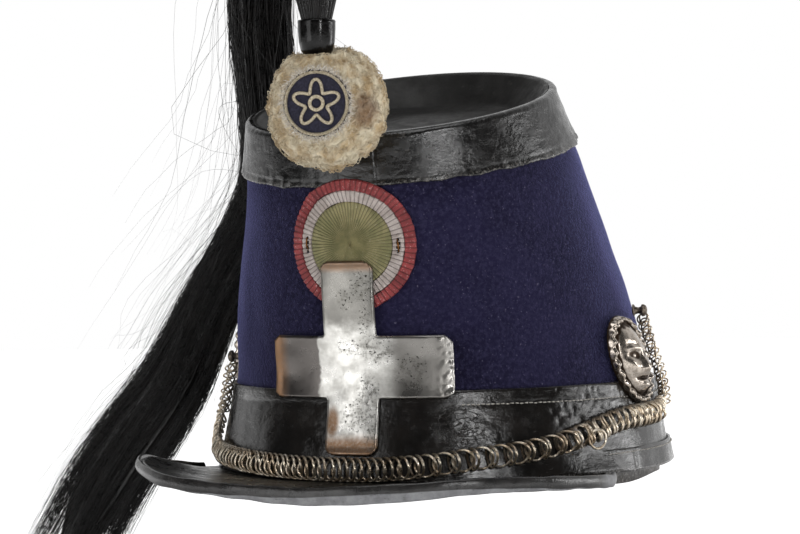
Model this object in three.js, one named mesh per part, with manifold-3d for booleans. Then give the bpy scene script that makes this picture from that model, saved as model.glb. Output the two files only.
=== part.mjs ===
// Kepi with leather bands, a plain cross, a pleated cockade, a wool pompom and a drooping hair plume.
// Millimetres. The front faces -Y, the wearer's left is +X and up is +Z.
// The origin is the middle of the head opening, in the plane of the lower rim.

import * as THREE from 'three';
import { mergeVertices } from 'three/addons/utils/BufferGeometryUtils.js';
import Module from 'manifold-3d';

const wasm = await Module();
wasm.setup();

// Clearance between pieces that touch
const gap = 0.3;

// Crown
const rimLength = 195;
const rimWidth = 177;
const crownHeight = 143.7;
const topLength = 118;
const topWidth = 121;
const topForward = 32;
const topSlope = 0.254;
const crownLean = 4.5;
const feltWall = 2.5;
const crownSteps = 50;

// Leather parts of the crown
const leather = 1.6;
const baseBandHeight = 33;
const topBandHeight = 20;
const rimRoll = 1;
const recessDepth = 11;
const recessInset = 8;
const stripHeight = 8;
const stripLeather = 0.9;
const sweatbandHeight = 31;
const sweatbandDrop = 5;
const sweatbandLeather = 1.2;

// Peak
const peakSpan = 61;
const peakWidth = 184;
const peakDepth = 100;
const peakLeather = 2.6;
const peakRise = 7;
const bindingHeight = 4.6;
const bindingWidth = 2.2;
const peakSteps = 28;
const peakRows = 4;

// Cross
const crossWidth = 75;
const crossHeight = 73;
const crossArm = 20.5;
const crossAside = 1.6;
const crossBentEnd = 3.5;
const crossBar = 24;
const crossBarHeight = 42.3;
const crossBottom = 9.6;
const crossClip = 2.5;
const crossPlate = 1.2;
const crossCurl = 1.2;

// Cockade
const cockadeRadius = 25;
const cockadeWhiteRadius = 20.8;
const cockadeGreenRadius = 16.2;
const cockadeBelowTop = 55.2;
const cockadeAside = 3;
const cockadeThickness = 1.3;
const cockadePleats = 32;
const pleatDepth = 0.4;

// Pompom and the badge on it
const pompomWidth = 43.6;
const pompomHeight = 46.6;
const pompomBelowTop = 4.4;
const pompomAside = 0.8;
const pompomTurn = 15;
const pompomDimple = 5.5;
const badgeDiameter = 24.6;
const badgeThickness = 2;
const badgeSetback = 2.2;
const badgeCordRadius = 0.75;
const badgeRosetteRadius = 6.4;
const badgeRosetteWave = 2.2;

// Plume and its socket
const socketTopDiameter = 14;
const socketFootDiameter = 8;
const socketHeight = 13;
const socketDepth = 9;
const socketWall = 1;
const socketAside = 0.5;
const socketSetback = -7;
const plumeAside = 192;
const plumeBack = 120.6;
const plumeRise = 74;
const plumeTail = 66;
const plumeOverBoss = 1.2;
const plumeWidth = 40;
const plumeThickness = 22;
const plumeSteps = 24;
const plumeLobes = 8;
const plumeTwist = 2.2;
const plumeTips = 6;

// Side bosses
const bossWidth = 30;
const bossHeight = 34.5;
const bossRelief = 9;
const bossMiddleHeight = 41.6;
const bossLeftAngle = 84;
const bossRightAngle = 86;
const bossRimShare = 0.8;

// Chin chain and the plain studs that hold its ends
const chainDiameter = 6;
const chainSteps = 42;
const chainSides = 8;
const studDiameter = 5;
const studLength = 6;

// Sections of the crown from the rim to the top: height as a share of the crown height, and the
// shares of the way from the rim's size and place to the top's
const crownRows = [
  { height: 0, length: 0, width: 0, forward: 0, tilt: 0, lean: 0 },
  { height: 0.23, length: 0.15, width: 0.19, forward: -0.06, tilt: 0, lean: 0.3 },
  { height: 0.5, length: 0.4, width: 0.43, forward: 0.27, tilt: 0.33, lean: 0.55 },
  { height: 0.77, length: 0.71, width: 0.73, forward: 0.65, tilt: 0.68, lean: 0.8 },
  { height: 1, length: 1, width: 1, forward: 1, tilt: 1, lean: 1 },
];

// Outline of the peak: turn as a share of its span, shares of half its width and of its depth
const peakOutlineRows = [
  { turn: 0, across: 0, forward: 1 },
  { turn: 0.25, across: 0.31, forward: 0.975 },
  { turn: 0.5, across: 0.6, forward: 0.88 },
  { turn: 0.7, across: 0.83, forward: 0.69 },
  { turn: 0.85, across: 0.965, forward: 0.44 },
  { turn: 0.95, across: 1, forward: 0.2 },
  { turn: 1, across: 0.94, forward: 0 },
];

// Upturn of the peak's edge from the wearer's right to the left, as a share of the peak's rise
const peakEdgeRows = [
  { turn: -1, rise: -0.05 },
  { turn: -0.85, rise: 1 },
  { turn: -0.5, rise: 0.55 },
  { turn: 0, rise: 0.25 },
  { turn: 0.3, rise: 0.45 },
  { turn: 0.6, rise: 0.7 },
  { turn: 0.85, rise: 0.4 },
  { turn: 1, rise: -0.03 },
];

// Route of the chain round the bands: angle from the front, height above the rim, and its share
// of the full stand-off from the crown
const chainRoute = [
  { angle: -73, height: 40, off: 0.85 },
  { angle: -72.5, height: 32, off: 1 },
  { angle: -69, height: 21.5, off: 1 },
  { angle: -62, height: 11.5, off: 1 },
  { angle: -50, height: 7.2, off: 1 },
  { angle: -38, height: 5.9, off: 1 },
  { angle: -22, height: 5, off: 1 },
  { angle: -8, height: 4.6, off: 1 },
  { angle: 8, height: 4.7, off: 1 },
  { angle: 20, height: 6.2, off: 1 },
  { angle: 30, height: 8.1, off: 1 },
  { angle: 40, height: 9.6, off: 1 },
  { angle: 50, height: 11.8, off: 1 },
  { angle: 60, height: 15.2, off: 1 },
  { angle: 68, height: 18.3, off: 1 },
  { angle: 76, height: 19.8, off: 1 },
  { angle: 84, height: 20, off: 1 },
  { angle: 92, height: 20.8, off: 1 },
  { angle: 98, height: 25.5, off: 1 },
  { angle: 101, height: 34, off: 0.95 },
  { angle: 103, height: 43, off: 0.75 },
  { angle: 104.5, height: 57, off: 0.72 },
];

// Route of the plume's middle line from the socket's mouth: shares of how far it reaches to the
// wearer's right and back, of its rise in the arch, of its drop to the top of the boss that it
// passes, and of the way from there to its tail below the rim. Beside the crown (wall 1) its reach
// to the right is counted from the felt.
const plumeRoute = [
  { aside: 0.01, back: 0.02, rise: 0.4, drop: 0, tail: 0, wall: 0 },
  { aside: 0.06, back: 0.114, rise: 0.817, drop: 0, tail: 0, wall: 0 },
  { aside: 0.175, back: 0.333, rise: 1, drop: 0, tail: 0, wall: 0 },
  { aside: 0.303, back: 0.632, rise: 0.76, drop: 0, tail: 0, wall: 0 },
  { aside: 0.388, back: 0.842, rise: 0.197, drop: 0, tail: 0, wall: 0 },
  { aside: 0.071, back: 0.995, rise: 0, drop: 0.28, tail: 0, wall: 1 },
  { aside: 0.062, back: 1.03, rise: 0, drop: 0.53, tail: 0, wall: 1 },
  { aside: 0.155, back: 0.991, rise: 0, drop: 1, tail: 0, wall: 1 },
  { aside: 0.643, back: 0.956, rise: 0, drop: 1, tail: 0.222, wall: 0 },
  { aside: 0.768, back: 0.93, rise: 0, drop: 1, tail: 0.476, wall: 0 },
  { aside: 0.872, back: 0.904, rise: 0, drop: 1, tail: 0.722, wall: 0 },
  { aside: 0.967, back: 0.877, rise: 0, drop: 1, tail: 1, wall: 0 },
];

// Fullness of the plume along its length: shares of its width and thickness
const plumeRows = [
  { along: 0, width: 0.16, thickness: 0.29 },
  { along: 0.045, width: 0.42, thickness: 0.75 },
  { along: 0.12, width: 0.52, thickness: 0.85 },
  { along: 0.25, width: 0.66, thickness: 1 },
  { along: 0.5, width: 0.66, thickness: 0.85 },
  { along: 0.65, width: 0.62, thickness: 0.8 },
  { along: 0.75, width: 0.8, thickness: 0.85 },
  { along: 0.84, width: 0.95, thickness: 0.95 },
  { along: 1, width: 1.12, thickness: 0.9 },
];

const radians = THREE.MathUtils.degToRad;
const vector = (x, y, z) => new THREE.Vector3(x, y, z);

// Value of one column of a table at a place between its rows, on a smooth curve
function tableValue(rows, key, column, at) {
  const place = THREE.MathUtils.clamp(at, rows[0][key], rows[rows.length - 1][key]);
  let index = 0;
  while (index < rows.length - 2 && place > rows[index + 1][key]) {
    index += 1;
  }
  const slope = (a, b) => (b[column] - a[column]) / (b[key] - a[key]);
  const from = rows[index];
  const to = rows[index + 1];
  const before = rows[index - 1] ?? from;
  const after = rows[index + 2] ?? to;
  const step = to[key] - from[key];
  const slopeFrom = slope(before, to) * step;
  const slopeTo = slope(from, after) * step;
  const t = (place - from[key]) / step;
  const bend = 3 * t * t - 2 * t * t * t;
  const start = t * t * t - 2 * t * t + t;
  const end = t * t * t - t * t;
  return from[column] * (1 - bend) + to[column] * bend + slopeFrom * start + slopeTo * end;
}

// Geometry from points and triangles, with its faces turned outwards
function closedGeometry(points, faces) {
  let volume = 0;
  for (const [a, b, c] of faces) {
    volume += points[a].dot(points[b].clone().cross(points[c]));
  }
  const turned = volume < 0 ? faces.map(([a, b, c]) => [a, c, b]) : faces;
  const geometry = new THREE.BufferGeometry();
  geometry.setFromPoints(points);
  geometry.setIndex(turned.flat());
  geometry.computeVertexNormals();
  return geometry;
}

// Solid whose section is a closed loop of rows; its columns close on themselves or end in caps.
// At a cap the first half of the rows is zipped to the second half.
function sweptSolid(rows, closed) {
  const across = rows.length;
  const along = rows[0].length;
  const at = (row, column) => (row % across) * along + (column % along);
  const faces = [];
  const lastColumn = closed ? along : along - 1;
  for (let row = 0; row < across; row += 1) {
    for (let column = 0; column < lastColumn; column += 1) {
      faces.push([at(row, column), at(row + 1, column), at(row + 1, column + 1)]);
      faces.push([at(row, column), at(row + 1, column + 1), at(row, column + 1)]);
    }
  }
  if (!closed) {
    for (let row = 0; row < across / 2 - 1; row += 1) {
      const corners = [row, row + 1, across - 2 - row, across - 1 - row];
      const [a, b, c, d] = corners.map((corner) => at(corner, 0));
      faces.push([b, a, d], [b, d, c]);
      const [e, f, g, h] = corners.map((corner) => at(corner, along - 1));
      faces.push([e, f, g], [e, g, h]);
    }
  }
  return closedGeometry(rows.flat(), faces);
}

// Solid of closed rings between a first and a last point
function ringedSolid(first, rings, last) {
  const around = rings[0].length;
  const at = (ring, step) => 1 + ring * around + (step % around);
  const faces = [];
  const lastPoint = 1 + rings.length * around;
  for (let step = 0; step < around; step += 1) {
    faces.push([0, at(0, step), at(0, step + 1)]);
    faces.push([lastPoint, at(rings.length - 1, step + 1), at(rings.length - 1, step)]);
    for (let ring = 0; ring < rings.length - 1; ring += 1) {
      faces.push([at(ring, step), at(ring + 1, step), at(ring + 1, step + 1)]);
      faces.push([at(ring, step), at(ring + 1, step + 1), at(ring, step + 1)]);
    }
  }
  return closedGeometry([first, ...rings.flat(), last], faces);
}

// Section of the crown at a share of its height
function crownSection(level) {
  const share = (column) => tableValue(crownRows, 'height', column, level);
  const between = (from, to, column) => from + (to - from) * share(column);
  return {
    halfLength: between(rimLength, topLength, 'length') / 2,
    halfWidth: between(rimWidth, topWidth, 'width') / 2,
    middleX: -crownLean * share('lean'),
    middleY: -topForward * share('forward'),
    slope: topSlope * share('tilt'),
    height: crownHeight * level,
  };
}

// Point on the crown: angle from the front towards the wearer's left, offset outwards, rise upwards
function crownPoint(level, angle, offset = 0, rise = 0) {
  const section = crownSection(level);
  const y = section.middleY - (section.halfLength + offset) * Math.cos(angle);
  return vector(
    section.middleX + (section.halfWidth + offset) * Math.sin(angle),
    y,
    section.height + section.slope * (y - section.middleY) + rise,
  );
}

// Share of the crown height at which the wall reaches a height at an angle
function levelAt(angle, height) {
  let low = 0;
  let high = 1;
  for (let pass = 0; pass < 26; pass += 1) {
    const middle = (low + high) / 2;
    if (crownPoint(middle, angle).z < height) {
      low = middle;
    } else {
      high = middle;
    }
  }
  return low;
}

// Point on the wall at a distance sideways from an angle, at a height
function wallPoint(angle, across, height, offset) {
  const section = crownSection(levelAt(angle, height));
  const arc = Math.hypot(section.halfWidth * Math.cos(angle), section.halfLength * Math.sin(angle));
  const turned = angle + across / arc;
  return crownPoint(levelAt(turned, height), turned, offset);
}

// Direction straight out of the wall
function wallNormal(angle, height) {
  const side = wallPoint(angle, 1, height, 0).sub(wallPoint(angle, -1, height, 0));
  const up = wallPoint(angle, 0, height + 1, 0).sub(wallPoint(angle, 0, height - 1, 0));
  return side.cross(up).normalize();
}

// Rows of points round the crown for a profile of { level, offset, rise }
function crownRings(profile, from = 0, to = 2 * Math.PI, steps = crownSteps) {
  const whole = to - from >= 2 * Math.PI;
  const count = whole ? steps : steps + 1;
  return profile.map(({ level, offset, rise = 0 }) => {
    const ring = [];
    for (let step = 0; step < count; step += 1) {
      ring.push(crownPoint(level, from + ((to - from) * step) / steps, offset, rise));
    }
    return ring;
  });
}

const levelOf = (height) => height / crownHeight;
const outerLeather = gap + leather;

// Levels of the lower wall, shared by the felt, the bands and the sweatband so that they stay parallel
const sweatbandTop = levelOf(sweatbandHeight - sweatbandDrop);
const bandTop = levelOf(baseBandHeight);
const lowerLevels = [0, sweatbandTop / 2, sweatbandTop];

function crownBody() {
  const levels = [...lowerLevels, bandTop, 0.42, 0.62, 0.82, 1];
  const edge = (level) => (level === 1 ? -2 * gap : 0);
  const outside = levels.map((level) => ({ level, offset: 0, rise: edge(level) }));
  const inside = levels.map((level) => ({ level, offset: -feltWall, rise: edge(level) }));
  return sweptSolid(crownRings([...outside, ...inside.reverse()]), true);
}

function topBand() {
  const foot = 1 - levelOf(topBandHeight);
  return sweptSolid(crownRings([
    { level: foot, offset: gap },
    { level: foot, offset: outerLeather },
    { level: 1, offset: outerLeather, rise: -rimRoll },
    { level: 1, offset: gap + leather / 2, rise: rimRoll },
    { level: 1, offset: -feltWall / 2, rise: rimRoll },
    { level: 1, offset: -feltWall / 2, rise: -gap },
    { level: 1, offset: gap, rise: -gap },
  ]), true);
}

// Sunken top: a flat floor inside a sloping wall that turns over the felt's upper edge
function topPanel() {
  const lip = -feltWall / 2 - gap;
  const wall = -feltWall - gap;
  const fold = wall - recessInset;
  const rings = crownRings([
    { level: 1, offset: fold - topWidth / 5, rise: -recessDepth },
    { level: 1, offset: fold, rise: -recessDepth },
    { level: 1, offset: wall - rimRoll, rise: -rimRoll },
    { level: 1, offset: wall, rise: rimRoll / 2 },
    { level: 1, offset: lip, rise: rimRoll },
    { level: 1, offset: lip, rise: -gap },
    { level: 1, offset: wall, rise: -gap },
    { level: 1, offset: wall, rise: -rimRoll - gap },
    { level: 1, offset: fold + leather / 2, rise: -recessDepth - leather },
  ]);
  const middle = crownSection(1);
  const floor = vector(middle.middleX, middle.middleY, crownHeight - recessDepth);
  const under = floor.clone().setZ(floor.z - leather);
  return ringedSolid(floor, rings, under);
}

function baseBand() {
  const levels = [0, sweatbandTop, bandTop];
  const outside = levels.map((level) => ({ level, offset: outerLeather }));
  const inside = levels.map((level) => ({ level, offset: gap }));
  return sweptSolid(crownRings([...outside, ...inside.reverse()]), true);
}

// Folded strip that binds the lower edge from one end of the peak round the back to the other
function edgeStrip() {
  const outside = outerLeather + gap + stripLeather;
  const start = radians(peakSpan + 5);
  const top = levelOf(stripHeight);
  return sweptSolid(crownRings([
    { level: top, offset: outside },
    { level: 0, offset: outside, rise: -gap - stripLeather },
    { level: 0, offset: gap - feltWall, rise: -gap - stripLeather },
    { level: 0, offset: gap - feltWall, rise: -gap },
    { level: 0, offset: outerLeather + gap, rise: -gap },
    { level: top, offset: outerLeather + gap },
  ], start, 2 * Math.PI - start, 36), false);
}

function sweatband() {
  const outer = -feltWall - gap;
  const face = (offset) => [
    { level: 0, offset, rise: -sweatbandDrop },
    ...lowerLevels.map((level) => ({ level, offset })),
  ];
  return sweptSolid(crownRings([...face(outer), ...face(outer - sweatbandLeather).reverse()]), true);
}

// Point on the outline of the peak, grown outwards
function peakOutline(turn, grow) {
  const side = Math.sign(turn);
  const chord = crownPoint(0, radians(peakSpan)).y;
  const across = tableValue(peakOutlineRows, 'turn', 'across', Math.abs(turn));
  const forward = tableValue(peakOutlineRows, 'turn', 'forward', Math.abs(turn));
  return vector(
    side * across * (peakWidth / 2 + grow),
    chord - forward * (peakDepth + grow),
    peakRise * tableValue(peakEdgeRows, 'turn', 'rise', turn),
  );
}

// Point on the upper face of the peak, from the band (share 0) to the edge (share 1)
function peakPoint(turn, share, drop) {
  const inner = crownPoint(0, turn * radians(peakSpan), gap - feltWall, -gap);
  const outer = peakOutline(turn, 0);
  const point = inner.clone().lerp(outer, share);
  point.z = inner.z + (outer.z - inner.z) * share ** 2.5 - drop;
  return point;
}

function peak() {
  const shares = [];
  for (let row = 0; row <= peakRows; row += 1) {
    shares.push(row / peakRows);
  }
  const line = (share, drop) => {
    const points = [];
    for (let step = 0; step <= peakSteps; step += 1) {
      points.push(peakPoint(-1 + (2 * step) / peakSteps, share, drop));
    }
    return points;
  };
  const upper = shares.map((share) => line(share, 0));
  const lower = shares.map((share) => line(share, peakLeather)).reverse();
  return sweptSolid([...upper, ...lower], false);
}

// Bead that binds the outer edge of the peak
function peakBinding() {
  const rows = [];
  const sides = 6;
  for (let side = 0; side < sides; side += 1) {
    const around = (2 * Math.PI * (side + 0.5)) / sides;
    const grow = gap + (bindingWidth / 2) * (1 + Math.cos(around) / Math.cos(Math.PI / sides));
    const lift = (bindingHeight / 2) * Math.sin(around) - peakLeather / 2;
    const row = [];
    for (let step = 0; step <= peakSteps; step += 1) {
      const point = peakOutline(-1 + (2 * step) / peakSteps, grow);
      row.push(point.setZ(point.z + lift));
    }
    rows.push(row);
  }
  return sweptSolid(rows, false);
}

// Plate made of the filled cells of a grid, with its edges closed
function cellPlate(columns, rows, isFilled, place) {
  const points = [];
  const index = (column, row, side) => (column * rows.length + row) * 2 + side;
  columns.forEach((across) => {
    rows.forEach((height) => {
      points.push(place(across, height, 0), place(across, height, 1));
    });
  });
  const faces = [];
  const quad = (a, b, c, d) => faces.push([a, b, c], [a, c, d]);
  const filled = (column, row) => column >= 0 && row >= 0 && column < columns.length - 1
    && row < rows.length - 1 && isFilled(column, row);
  for (let column = 0; column < columns.length - 1; column += 1) {
    for (let row = 0; row < rows.length - 1; row += 1) {
      if (!filled(column, row)) {
        continue;
      }
      const corners = [[column, row], [column + 1, row], [column + 1, row + 1], [column, row + 1]];
      const [a, b, c, d] = corners.map(([x, y]) => index(x, y, 1));
      const [e, f, g, h] = corners.map(([x, y]) => index(x, y, 0));
      quad(a, b, c, d);
      quad(e, h, g, f);
      if (!filled(column, row - 1)) quad(e, f, b, a);
      if (!filled(column + 1, row)) quad(f, g, c, b);
      if (!filled(column, row + 1)) quad(g, h, d, c);
      if (!filled(column - 1, row)) quad(h, e, a, d);
    }
  }
  const geometry = closedGeometry(points, faces).toNonIndexed();
  geometry.deleteAttribute('normal');
  const merged = mergeVertices(geometry);
  merged.computeVertexNormals();
  return merged;
}

// Plain cross bent round the front, with clipped corners and worn, curled ends
function cross() {
  const half = crossWidth / 2;
  const bent = crossBentEnd - half;
  const arm = crossArm / 2;
  const top = crossBottom + crossHeight;
  const barLow = crossBarHeight - crossBar / 2;
  const barHigh = crossBarHeight + crossBar / 2;
  const right = [bent, bent + crossClip, (bent - arm) / 2, -arm];
  const left = [arm, (half + arm) / 2, half - crossClip, half];
  const columns = [...right, 0, ...left];
  const rows = [crossBottom, crossBottom + crossClip, barLow, crossBarHeight, barHigh, top - crossClip, top];
  const isFilled = (column, row) => (column >= 3 && column < 5) || (row >= 2 && row < 4);
  const back = outerLeather + 2 * gap;
  const place = (across, height, side) => {
    let x = across;
    let z = height;
    if ((across === bent || across === half) && (height === barLow || height === barHigh)) {
      z += height === barLow ? crossClip : -crossClip;
    }
    if (Math.abs(across) === arm && (height === crossBottom || height === top)) {
      x -= Math.sign(across) * crossClip;
    }
    const curl = across === bent || height === top ? crossCurl : 0;
    return wallPoint(0, crossAside + x, z, back + side * crossPlate + curl * 0.6);
  };
  return cellPlate(columns, rows, isFilled, place);
}

const topBandFoot = crownPoint(1 - levelOf(topBandHeight), 0).z;
const cockadeMiddleHeight = crownHeight - cockadeBelowTop;

// Point on the cockade; it climbs over the lower edge of the top band
function cockadePoint(radius, step, layer) {
  const angle = (Math.PI * step) / cockadePleats;
  const height = cockadeMiddleHeight + radius * Math.cos(angle);
  const climb = THREE.MathUtils.smoothstep(height, topBandFoot - 8, topBandFoot - 1) * outerLeather;
  const fold = step % 2 === 0 ? pleatDepth : -pleatDepth;
  const lift = layer === 0 ? 0 : cockadeThickness + fold;
  return wallPoint(0, cockadeAside + radius * Math.sin(angle), height, gap + climb + lift);
}

function cockadeRow(radius, layer) {
  const row = [];
  for (let step = 0; step < 2 * cockadePleats; step += 1) {
    row.push(cockadePoint(radius, step, layer));
  }
  return row;
}

function cockadeRing(outer, inner) {
  return sweptSolid([
    cockadeRow(outer, 0), cockadeRow(outer, 1), cockadeRow(inner, 1), cockadeRow(inner, 0),
  ], true);
}

function cockadeCentre() {
  const radius = cockadeGreenRadius - gap;
  const middle = (lift) => wallPoint(0, cockadeAside, cockadeMiddleHeight, gap + lift);
  const front = [cockadeRow(radius / 3, 1), cockadeRow(radius, 1)];
  const rings = [...front, cockadeRow(radius, 0), cockadeRow(radius / 2, 0)];
  return ringedSolid(middle(cockadeThickness), rings, middle(0));
}

// Places of the pompom, which rests against the edge of the top band, of its badge and of the
// plume's socket
const pompomDrop = topSlope * (topLength / 2 + outerLeather) - pompomBelowTop;
const pompomAtEdge = (pompomWidth / 2) * Math.sqrt(1 - (2 * pompomDrop / pompomHeight) ** 2);
const pompomStand = outerLeather + gap + pompomAtEdge;
const pompomAngle = Math.asin((pompomAside + crownLean) / (topWidth / 2 + pompomStand));
const pompomMiddle = crownPoint(1, pompomAngle, pompomStand).setZ(crownHeight - pompomBelowTop);
const badgeDirection = vector(Math.sin(radians(pompomTurn)), -Math.cos(radians(pompomTurn)), 0);
const badgeBack = pompomWidth / 2 - badgeSetback;
const socketFoot = pompomMiddle.clone().add(
  vector(-socketAside, socketSetback, pompomHeight / 2 - pompomDimple + gap),
);

// Felted wool ball, lumpy, flat behind its badge and hollowed under the socket
function pompom() {
  const rings = [];
  const around = 22;
  const tall = 12;
  const place = (tilt, turn) => {
    const lump = 0.03 * Math.sin(5 * turn + 3 * tilt) + 0.02 * Math.sin(9 * turn - 4 * tilt);
    const size = 0.97 + lump * Math.sin(tilt);
    const point = vector(
      (pompomWidth / 2) * size * Math.sin(tilt) * Math.sin(turn),
      -(pompomWidth / 2) * size * Math.sin(tilt) * Math.cos(turn),
      (pompomHeight / 2) * size * Math.cos(tilt),
    );
    const ahead = point.dot(badgeDirection);
    if (ahead > badgeBack - gap) {
      point.addScaledVector(badgeDirection, badgeBack - gap - ahead);
    }
    const near = Math.hypot(point.x + socketAside, point.y - socketSetback) / socketTopDiameter;
    if (point.z > 0 && near < 1) {
      point.z = Math.min(point.z, pompomHeight / 2 - pompomDimple * (1.25 - near * near));
    }
    return point.add(pompomMiddle);
  };
  for (let row = 1; row < tall; row += 1) {
    const ring = [];
    for (let step = 0; step < around; step += 1) {
      ring.push(place((Math.PI * row) / tall, (2 * Math.PI * step) / around));
    }
    rings.push(ring);
  }
  return ringedSolid(place(0, 0), rings, place(Math.PI, 0));
}

// Lathe turned about its own Y axis
function turned(profile, steps) {
  const geometry = new THREE.LatheGeometry(profile.map(([r, h]) => new THREE.Vector2(r, h)), steps);
  geometry.deleteAttribute('normal');
  geometry.deleteAttribute('uv');
  const merged = mergeVertices(geometry, 1e-4);
  merged.computeVertexNormals();
  return merged;
}

function badgeDisc() {
  const radius = badgeDiameter / 2;
  return turned([
    [0, 0], [radius - 0.6, 0], [radius, 0.6], [radius, badgeThickness - 0.7],
    [radius - 0.8, badgeThickness], [0, badgeThickness],
  ], 28);
}

// Cord laid on the badge as a plain five-lobed rosette
function badgeCord() {
  const sides = 5;
  const steps = 35;
  const rows = [];
  const height = badgeThickness + gap + badgeCordRadius;
  for (let side = 0; side < sides; side += 1) {
    const around = (2 * Math.PI * side) / sides;
    const row = [];
    for (let step = 0; step < steps; step += 1) {
      const turn = (2 * Math.PI * step) / steps;
      const reach = badgeRosetteRadius + badgeRosetteWave * Math.cos(5 * turn)
        + badgeCordRadius * Math.cos(around);
      row.push(vector(
        reach * Math.sin(turn),
        height + badgeCordRadius * Math.sin(around),
        reach * Math.cos(turn),
      ));
    }
    rows.push(row);
  }
  return sweptSolid(rows, true);
}

// Tapered cup that holds the root of the plume
function plumeSocket() {
  const foot = socketFootDiameter / 2;
  const mouth = socketTopDiameter / 2;
  const floor = socketHeight - socketDepth;
  const inner = (height) => foot + ((mouth - foot) * height) / socketHeight - socketWall;
  return turned([
    [0, 0], [foot, 0], [mouth, socketHeight], [mouth - socketWall, socketHeight],
    [inner(floor), floor], [0, floor],
  ], 16);
}

// Solid of the manifold library from a closed geometry, and back
function toManifold(geometry) {
  const plain = geometry.clone();
  plain.deleteAttribute('normal');
  plain.deleteAttribute('uv');
  const merged = mergeVertices(plain, 1e-4);
  return new wasm.Manifold(new wasm.Mesh({
    numProp: 3,
    vertProperties: new Float32Array(merged.attributes.position.array),
    triVerts: new Uint32Array(merged.index.array),
  }));
}

function fromManifold(solid) {
  const mesh = solid.getMesh();
  const geometry = new THREE.BufferGeometry();
  geometry.setAttribute('position', new THREE.BufferAttribute(mesh.vertProperties, 3));
  geometry.setIndex(new THREE.BufferAttribute(mesh.triVerts, 1));
  geometry.computeVertexNormals();
  return geometry;
}

// Middle line of the plume, from inside the socket
function plumeCurve() {
  const mouth = socketFoot.clone().add(vector(0, 0, socketHeight));
  const root = mouth.clone().add(vector(0, 0, gap - socketDepth));
  const pass = bossMiddleHeight + bossHeight / 2 + plumeOverBoss;
  const points = plumeRoute.map(({ aside, back, rise, drop, tail, wall }) => {
    const z = mouth.z + plumeRise * rise - (mouth.z - pass) * drop - (pass + plumeTail) * tail;
    const from = wall ? crownPoint(levelAt(-Math.PI / 2, z), -Math.PI / 2).x : mouth.x;
    return vector(from - plumeAside * aside, mouth.y + plumeBack * back, z);
  });
  return new THREE.CatmullRomCurve3([root, mouth, ...points], false, 'centripetal');
}

// Bundle of hair with a lobed section, ending in separate tapered locks
function plume() {
  const curve = plumeCurve();
  const frames = curve.computeFrenetFrames(plumeSteps, false);
  const around = 2 * plumeLobes;
  const ringAt = (step, place) => {
    const along = step / plumeSteps;
    const width = (plumeWidth / 2) * tableValue(plumeRows, 'along', 'width', along);
    const thick = (plumeThickness / 2) * tableValue(plumeRows, 'along', 'thickness', along);
    return place(curve.getPointAt(along), frames.normals[step], frames.binormals[step], width, thick);
  };
  const section = (middle, normal, binormal, width, thick) => {
    const ring = [];
    for (let side = 0; side < around; side += 1) {
      const angle = (2 * Math.PI * side) / around;
      const lobe = side % 2 === 0 ? 1 : 0.8;
      ring.push(middle.clone()
        .addScaledVector(normal, thick * lobe * Math.cos(angle))
        .addScaledVector(binormal, width * lobe * Math.sin(angle)));
    }
    return ring;
  };
  const bodyEnd = plumeSteps - 3;
  const rings = [];
  for (let step = 0; step <= bodyEnd; step += 1) {
    rings.push(ringAt(step, section));
  }
  const root = curve.getPointAt(0);
  const end = curve.getPointAt((bodyEnd + 1) / plumeSteps);
  let solid = toManifold(ringedSolid(root, rings, end));
  for (let tip = 0; tip < plumeTips; tip += 1) {
    solid = solid.add(toManifold(plumeTip(curve, frames, tip, bodyEnd)));
  }
  return fromManifold(solid);
}

// One lock at the loose end of the plume
function plumeTip(curve, frames, tip, bodyEnd) {
  const first = bodyEnd - 2;
  const last = plumeSteps - (tip % 3);
  const turn = plumeTwist + (2 * Math.PI * tip) / plumeTips;
  const sides = 6;
  const rings = [];
  const middleAt = (step) => {
    const along = step / plumeSteps;
    const spread = 0.45 + (0.35 * (step - first)) / (plumeSteps - first);
    const width = (plumeWidth / 2) * tableValue(plumeRows, 'along', 'width', along);
    const thick = (plumeThickness / 2) * tableValue(plumeRows, 'along', 'thickness', along);
    return curve.getPointAt(along)
      .addScaledVector(frames.normals[step], thick * spread * Math.cos(turn))
      .addScaledVector(frames.binormals[step], width * spread * Math.sin(turn));
  };
  for (let step = first; step < last; step += 1) {
    const size = (plumeThickness / 3.6) * (1 - (0.75 * (step - first)) / (last - first));
    const middle = middleAt(step);
    const ring = [];
    for (let side = 0; side < sides; side += 1) {
      const angle = (2 * Math.PI * side) / sides;
      ring.push(middle.clone()
        .addScaledVector(frames.normals[step], size * Math.cos(angle))
        .addScaledVector(frames.binormals[step], size * Math.sin(angle)));
    }
    rings.push(ring);
  }
  return ringedSolid(middleAt(first).lerp(middleAt(first + 1), -0.2), rings, middleAt(last));
}

// Relief of the mask on a boss, by its place across and up, each from -1 to 1
function maskRelief(across, up) {
  const reach = Math.hypot(across, up);
  const bump = (x, y, size, tall) => tall * Math.exp(-((across - x) ** 2 + (up - y) ** 2) / size ** 2);
  const dome = 0.5 * Math.sqrt(Math.max(0, 1 - reach * reach));
  const brow = bump(-0.24, 0.3, 0.2, 0.2) + bump(0.24, 0.3, 0.2, 0.2) + bump(0, 0.45, 0.25, 0.1);
  const muzzle = bump(0, -0.22, 0.3, 0.42) + bump(0, 0.02, 0.14, 0.25);
  const cheeks = bump(-0.42, -0.2, 0.2, 0.12) + bump(0.42, -0.2, 0.2, 0.12);
  return dome + brow + muzzle + cheeks;
}

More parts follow.
